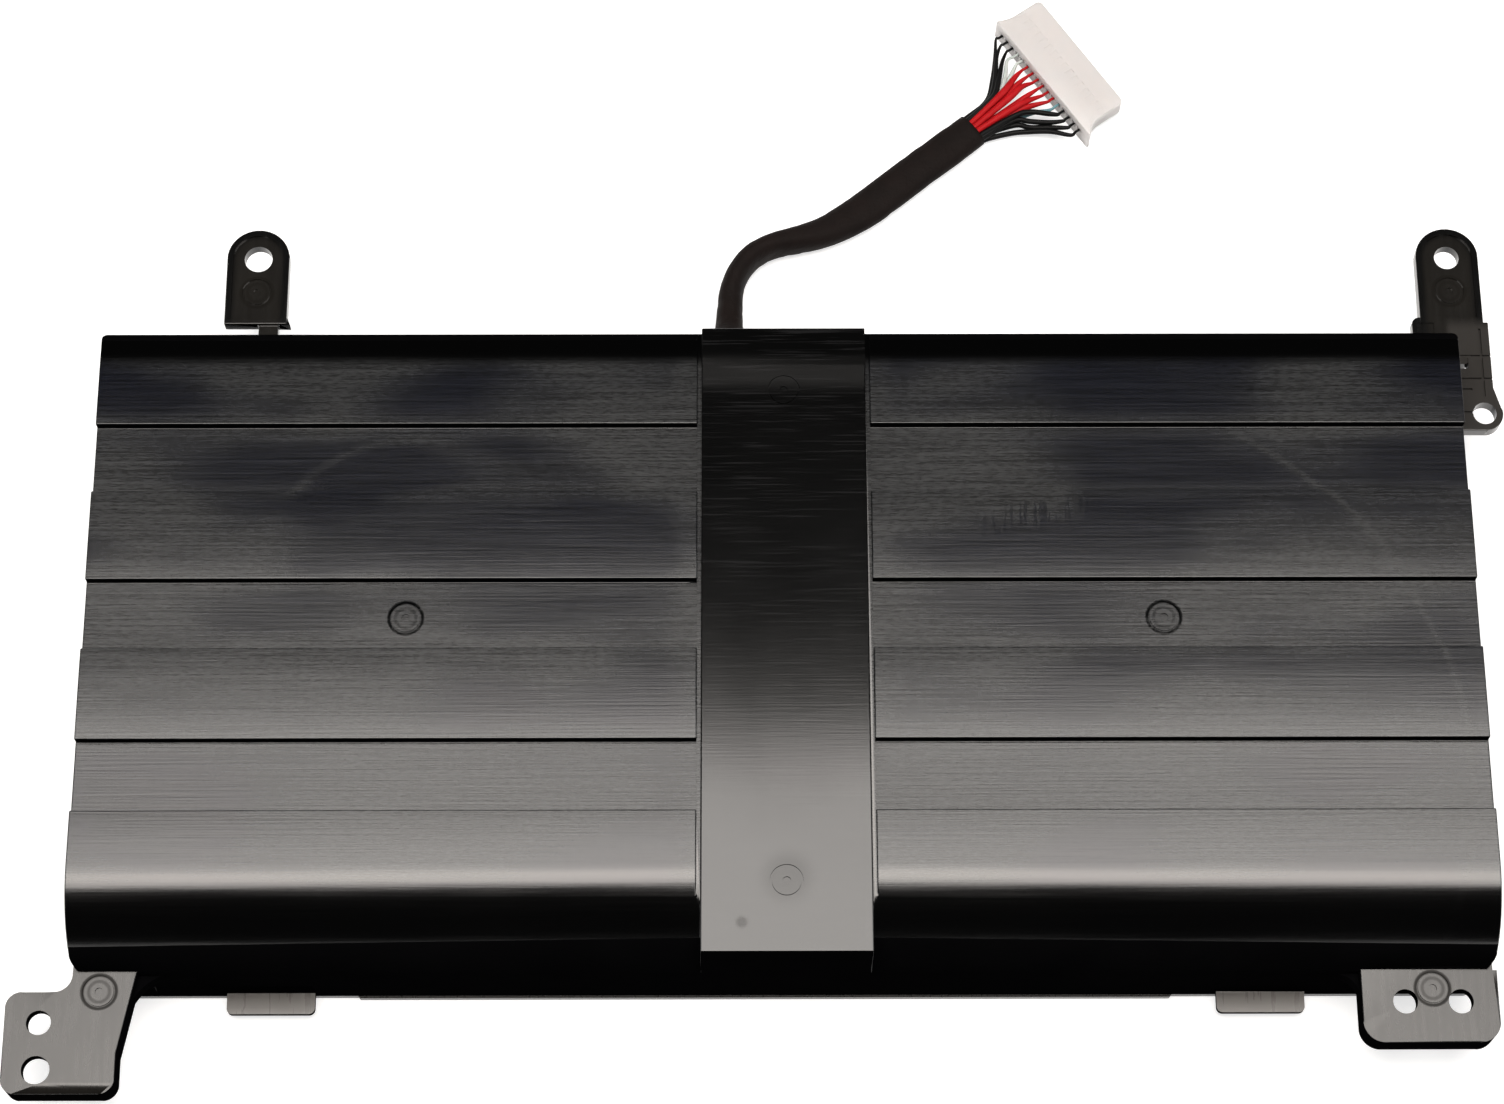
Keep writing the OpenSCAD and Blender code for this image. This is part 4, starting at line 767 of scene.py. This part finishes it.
class BATTERY_OT_stage(bpy.types.Operator):
    """Set the floor, the lamps, the world and the camera"""
    bl_idname = "battery.stage"
    bl_label = "Stage"

    def execute(self, context):
        stage = context.scene.battery_stage
        self.floor(stage.floor)
        daylight, warm, warmer = (1.0, 1.0, 1.0), (1.0, 0.955, 0.91), (1.0, 0.9, 0.8)
        pack = (0.0, 0.0, 0.0)
        boxes = [
            # the far edge of this box is mirrored across the face, so that the sheen
            # on it fades from the near edge to the far one
            ("softbox_top", stage.top_light, warm, (0.80, 0.53), (0.0, 0.0145, 0.92), (0.0, 0.0145, 0.0)),
            # the bright middle of the same box, mirrored in the round of the near edge
            ("softbox_core", stage.core_light, warmer, (0.70, 0.22), (0.0, -0.05, 0.91), (0.0, -0.05, 0.0)),
            ("softbox_left", stage.side_light, daylight, (0.9, 0.5), (-1.2, -0.1, 0.45), pack),
            ("softbox_right", stage.side_light, daylight, (0.9, 0.5), (1.2, -0.1, 0.45), pack),
            ("softbox_back", stage.side_light / 3, daylight, (1.2, 0.4), (0.0, 1.5, 0.4), pack),
        ]
        for box in boxes:
            self.lamp(*box)
        world = bpy.data.worlds.new("dim_room")
        world.use_nodes = True
        tree = world.node_tree
        tree.nodes.clear()
        room = add(tree, "ShaderNodeBackground", {"Color": (1.0, 1.0, 1.0, 1.0), "Strength": 0.03})
        add(tree, "ShaderNodeOutputWorld", {"Surface": room})
        context.scene.world = world
        context.scene.view_settings.view_transform = "Standard"
        self.camera(stage.lens)
        return {"FINISHED"}

    def floor(self, side):
        """A square floor, a fiftieth of a millimetre under the pack."""
        bm = bmesh.new()
        bmesh.ops.create_grid(bm, x_segments=1, y_segments=1, size=side / 2)
        mesh = bpy.data.meshes.new("floor")
        bm.to_mesh(mesh)
        bm.free()
        mesh.transform(Matrix.Translation((0, 0, -0.00002)))
        floor = bpy.data.objects.new("floor", mesh)
        bpy.context.scene.collection.objects.link(floor)
        mesh.materials.append(self.paper())

    def paper(self):
        """Matt paper that the camera and glossy faces see as white, with the shadow kept."""
        material, tree = new_material("paper_sweep")
        rays = add(tree, "ShaderNodeLightPath").outputs
        seen = add(tree, "ShaderNodeMath", {0: rays["Is Camera Ray"], 1: rays["Is Glossy Ray"]},
                   operation="MAXIMUM")
        seen = add(tree, "ShaderNodeMath", {0: seen, 1: rays["Is Transmission Ray"]}, operation="MAXIMUM")
        matt = add(tree, "ShaderNodeBsdfDiffuse", {"Color": (0.5, 0.5, 0.5, 1.0)})
        glow = add(tree, "ShaderNodeEmission", {"Color": (1.0, 1.0, 1.0, 1.0), "Strength": seen})
        both = add(tree, "ShaderNodeMixShader", {0: 0.65, 1: matt, 2: glow})
        bright = add(tree, "ShaderNodeAddShader", {0: both, 1: matt})
        add(tree, "ShaderNodeOutputMaterial", {"Surface": bright})
        return material

    def lamp(self, name, power, tint, size, at, aim):
        """A rectangular soft box at a point, turned towards another."""
        light = bpy.data.lights.new(name, "AREA")
        light.color = tint
        light.shape = "RECTANGLE"
        light.size, light.size_y = size
        light.energy = power
        box = bpy.data.objects.new(name, light)
        bpy.context.scene.collection.objects.link(box)
        look = (Vector(aim) - Vector(at)).to_track_quat("-Z", "Y")
        box.matrix_world = Matrix.Translation(at) @ look.to_matrix().to_4x4()

    def camera(self, lens):
        """The photograph's own point of view, from the near side and well above."""
        camera = bpy.data.cameras.new("camera")
        camera.sensor_width = 36.0
        camera.lens = lens
        camera.clip_start, camera.clip_end = 0.01, 50.0
        view = bpy.data.objects.new("camera", camera)
        bpy.context.scene.collection.objects.link(view)
        turn = Matrix.Identity(3)
        for axis, angle in VIEW_TURNS:
            turn = turn @ Matrix.Rotation(angle, 3, axis)
        view.matrix_world = Matrix.Translation(VIEW_AT) @ turn.transposed().to_4x4()
        bpy.context.scene.camera = view


class BATTERY_OT_cable(bpy.types.Operator):
    bl_idname = "battery.cable"
    bl_label = "Cable and plug"

    def execute(self, context):
        size, colours = context.scene.battery_cable, context.scene.battery_colours
        tree = wire_tree()
        wires = [self.wires(colour, size, tree) for colour in WIRE_WAYS]
        plug = self.plug(size, nylon(colours.plug))
        dress(["contacts", "solder_pads"], plain_metal("tinned_bronze", "#b8ac94", 0.3, 0.6))
        rows = [(x, y + FAR_WALL, z, w, h) for x, y, z, w, h in SLEEVE_ROUTE]
        rows = spline_through(rows, 5)
        mesh = sleeve_mesh(rows, 36, size.crease / MM)
        sleeve = new_piece("sleeve_tube", mesh, sleeve_cloth(colours.sleeve), "sleeve_black", "sleeve")
        return {"FINISHED"}

    def wires(self, colour, size, tree):
        """The wires of one colour as one mesh, drawn along their runs."""
        name = "wires_" + colour
        curve = bpy.data.curves.new(name + "_runs", "CURVE")
        curve.dimensions = "3D"
        for i in WIRE_WAYS[colour]:
            rows = spline_through(fan_rows(i, size), 5)
            spline = curve.splines.new("POLY")
            spline.points.add(len(rows) - 1)
            for point, (x, y, z, r) in zip(spline.points, rows):
                point.co = (x * MM, y * MM, z * MM, 1.0)
                point.radius = r * MM
        runs = bpy.data.objects.new(name + "_runs", curve)
        host = bpy.data.objects.new(name + "_host", bpy.data.meshes.new(name + "_host"))
        for made in (runs, host):
            bpy.context.scene.collection.objects.link(made)
        material = wire_pvc("extruded_pvc_" + colour, *WIRE_TONES[colour])
        mesh = grown(host, tree, {"Runs": runs, "Sides": size.sides, "Insulation": material})
        for made in (runs, host):
            bpy.data.objects.remove(made)
        return new_piece("wire_run_" + colour, mesh, None, "wire_" + colour, name)

    def plug(self, size, material):
        """The nylon housing, from its outline, with its ways cut by geometry nodes."""
        host = bpy.data.objects.new("plug_host", self.block(size))
        bpy.context.scene.collection.objects.link(host)
        # each mouth is a block that runs right through the wire side, and each window
        # a shallow one in the top, over the way's latch
        first = plug_point(-MID_WAY * size.pitch / MM, 1.4, size.way_height / MM) * MM
        row = plug_point(1, 0, 0) - plug_point(0, 0, 0)
        inward = plug_point(0, 1.8, 0) - plug_point(0, 0, 0)
        made = grown(host, plug_tree(), {
            "Ways": len(FAN), "First": first, "Step": row * size.pitch, "Turn": PLUG_TURN,
            "Mouth Size": Vector((0.0062, 0.00078, 0.00078)),
            "Window Size": Vector((0.0011, 0.00055, 0.0001)),
            "Window Shift": inward * MM + Vector((0, 0, 0.0018)), "Nylon": material})
        bpy.data.objects.remove(host)
        made.set_sharp_from_angle(angle=math.radians(32))
        return new_piece("plug_housing", made, material, "plug_nylon", "plug")

    def block(self, size):
        """The housing before its ways are cut, with a narrower foot under it."""
        bm = bmesh.new()
        high = size.plug_height / MM
        rim = plug_outline(size)
        wide = max(u for u, v in rim) - LAST_LUG - PLUG_FOOT
        deep = size.plug_depth / MM - PLUG_FOOT
        # the foot stands in from every wall but the one that the wires enter
        foot = [(u, v) if v < PLUG_FOOT else (max(-wide, min(wide, u)), min(deep, v)) for u, v in rim]
        rings = [[bm.verts.new(plug_point(u, v, z) * MM) for u, v in line]
                 for line, z in ((foot, 0.0), (foot, PLUG_FOOT), (rim, PLUG_FOOT), (rim, high))]
        skin(bm, rings)
        bmesh.ops.remove_doubles(bm, verts=bm.verts, dist=1e-6)
        bmesh.ops.dissolve_degenerate(bm, edges=bm.edges, dist=1e-7)
        bmesh.ops.recalc_face_normals(bm, faces=bm.faces)
        # only the edges of the top are rounded
        edges = [e for e in bm.edges if len(e.link_faces) == 2 and e.calc_face_angle(0) > 1.2
                 and min(v.co.z for v in e.verts) > 0.003]
        bmesh.ops.bevel(bm, geom=edges, offset=0.0001, segments=2, affect="EDGES", profile=0.6)
        mesh = bpy.data.meshes.new("plug_block")
        bm.to_mesh(mesh)
        bm.free()
        return mesh


class BATTERY_OT_case(bpy.types.Operator):
    """Finish the cover with rounded edges and its six surfaces, and dress the base"""
    bl_idname = "battery.case"
    bl_label = "Case"

    def execute(self, context):
        colours = context.scene.battery_colours
        finishes = {
            "brushed": brushed_case(colours.case, colours.worn),
            "gloss": strip_case(colours.strip),
            "matt": wall_case("moulded_pc_abs_matt", colours.wall, 0.0),
            "satin": ear_case("moulded_pc_abs_satin", colours.ear, "#211f1c"),
            "rubbed": ear_case("moulded_pc_abs_rubbed", "#575451", "#676461"),
            "eroded": wall_case("moulded_pc_abs_eroded", colours.wall, 0.25),
        }
        mesh = NODES["cover"].data.copy()
        mesh.materials.clear()
        for finish in finishes.values():
            mesh.materials.append(finish)
        bm = bmesh.new()
        bm.from_mesh(mesh)
        bmesh.ops.remove_doubles(bm, verts=bm.verts, dist=WELD)
        bmesh.ops.dissolve_limit(bm, angle_limit=FLAT, verts=bm.verts, edges=bm.edges)
        numbers = {finish: number for number, finish in enumerate(finishes)}
        for face in bm.faces:
            face.material_index = numbers[self.finish_of(face)]
            face.smooth = True
        # only edges between broad faces are rounded; fine steps stay crisp
        weight = bm.edges.layers.float.new("bevel_weight_edge")
        broad = {face for face in bm.faces if 2 * face.calc_area() > BROAD * face.calc_perimeter()}
        for edge in bm.edges:
            if len(edge.link_faces) == 2 and edge.calc_face_angle(0) > SHARP:
                if all(face in broad for face in edge.link_faces):
                    edge[weight] = 1.0
                else:
                    edge.smooth = False
        bm.to_mesh(mesh)
        bm.free()
        cover = new_piece("cover_shell", mesh, None, "case_plastic", "cover")
        edge = cover.modifiers.new("edge_round", "BEVEL")
        edge.width = EDGE_ROUND
        edge.segments = 2
        edge.limit_method = "WEIGHT"
        edge.use_clamp_overlap = False
        level = cover.modifiers.new("even_faces", "WEIGHTED_NORMAL")
        level.keep_sharp = True
        cover.data = settled(cover)
        cover.modifiers.clear()
        dress(["base"], finishes["satin"])
        return {"FINISHED"}

    def finish_of(self, face):
        """The surface that a face of the cover belongs to, from its place and slope."""
        at = face.calc_center_median() / MM
        slope = face.normal
        facing_up = slope.z > 0.6
        # the tongues are paler
        if at.y < -LONG_LINE and at.z < 3.0 and facing_up:
            return "rubbed"
        # the far round throws no sheen
        if at.y > 36.5 and slope.y > 0.08 and abs(at.x) < END_LINE and at.z > FACE_FOOT:
            return "matt"
        # nor does the narrow ledge that joins a tab to the near wall, away from its mark
        beside = min(math.hypot(at.x - x, at.y - y) for x, y, z in BAND_MARKS + EAR_MARKS + TAB_MARKS)
        if -40.8 < at.y < -37.5 and at.z > 9.0 and beside > 2.6 and face.calc_area() < 12 * MM * MM:
            return "matt"
        inside = abs(at.x) < END_LINE and abs(at.y) < LONG_LINE
        on_face = inside and at.z > FACE_FOOT and facing_up
        on_near_round = inside and at.z > 8.0 and slope.z > 0.8 and at.y < -27.0
        if on_face or on_near_round:
            return "gloss" if STRIP[0] < at.x < STRIP[1] else "brushed"
        # the ears, the arm and the tabs, and the sides of the first two
        if not inside and facing_up:
            return "satin"
        if at.y > 38.3 or (abs(at.x) > 81.0 and at.y > -36.0):
            return "satin"
        # the far wall and the end walls show a little more than the near one
        low = min(vert.co.z for vert in face.verts) / MM
        outward = slope.y > 0.3 or abs(slope.x) > 0.5
        if low < 15.0 and slope.z < 0.6 and at.y > -38.2 and outward:
            return "eroded"
        return "matt"


class BATTERY_OT_inside(bpy.types.Operator):
    """Give the cells, the links, the board and its parts their materials"""
    bl_idname = "battery.inside"
    bl_label = "Cells and board"

    def execute(self, context):
        # PVC sleeve shrunk over each steel can: even green with a soft gloss
        dress(["cell_%d" % (i + 1) for i in range(8)],
              plain_solid("shrunk_pvc_green", "#5fa39c", "#6fb0a6", 0.22, 6.0, 1.53))
        # vulcanised fibre rings: pale, dry and fibrous
        dress(["washers"], plain_solid("vulcanised_fibre", "#e6e1d0", "#d6cfb8", 0.7, 0.5))
        # cold-rolled nickel strip, spot welded to the cells
        dress(["link_left", "link_right", "link_minus", "link_plus", "link_mid"],
              plain_metal("rolled_nickel", "#cfcbc3", 0.26, 3.0))
        # polyimide film over a flat flex: amber and glossy
        dress(["ribbon_left", "ribbon_right"],
              plain_solid("polyimide_film", "#b8741c", "#a3611a", 0.2, 2.0, 1.7))
        # glass-epoxy laminate under green solder mask
        dress(["board"], plain_solid("fr4_solder_mask", "#1f6b3c", "#185a33", 0.28, 1.2, 1.55))
        # epoxy moulded over the chips: dark grey with a fine cast grain
        dress(["mosfets", "gauge_chip", "shunt", "resistors", "thermistor"],
              plain_solid("moulded_epoxy", "#2b2b2d", "#38383a", 0.5, 0.3, 1.55))
        # fired ceramic bodies: dry tan
        dress(["fuse_chip", "capacitors"],
              plain_solid("fired_ceramic", "#b09878", "#c2ab8b", 0.5, 0.4, 1.6))
        for colour, tones in WIRE_TONES.items():
            dress(["leads_" + colour], wire_pvc("extruded_pvc_lead_" + colour, *tones))
        return {"FINISHED"}


class BATTERY_PT_panel(bpy.types.Panel):
    """Lists the pieces of the battery pack and their settings"""
    bl_idname = "BATTERY_PT_panel"
    bl_label = "Battery pack"
    bl_space_type = "VIEW_3D"
    bl_region_type = "UI"
    bl_category = "Battery"

    def draw(self, context):
        layout = self.layout
        for operator in OPERATORS:
            layout.operator(operator.bl_idname)
        for group in settings():
            box = layout.box()
            for name in group.__annotations__:
                box.prop(group, name)


OPERATORS = (BATTERY_OT_stage, BATTERY_OT_cable, BATTERY_OT_case, BATTERY_OT_inside)
CLASSES = (CableSettings, ColourSettings, StageSettings) + OPERATORS + (BATTERY_PT_panel,)


def register():
    for cls in CLASSES:
        bpy.utils.register_class(cls)
    bpy.types.Scene.battery_cable = bpy.props.PointerProperty(type=CableSettings)
    bpy.types.Scene.battery_colours = bpy.props.PointerProperty(type=ColourSettings)
    bpy.types.Scene.battery_stage = bpy.props.PointerProperty(type=StageSettings)


def unregister():
    del bpy.types.Scene.battery_stage
    del bpy.types.Scene.battery_colours
    del bpy.types.Scene.battery_cable
    for cls in reversed(CLASSES):
        bpy.utils.unregister_class(cls)


def main():
    """Make every piece in order."""
    register()
    bpy.ops.battery.stage()
    bpy.ops.battery.cable()
    bpy.ops.battery.case()
    bpy.ops.battery.inside()


if __name__ == "__main__":
    main()
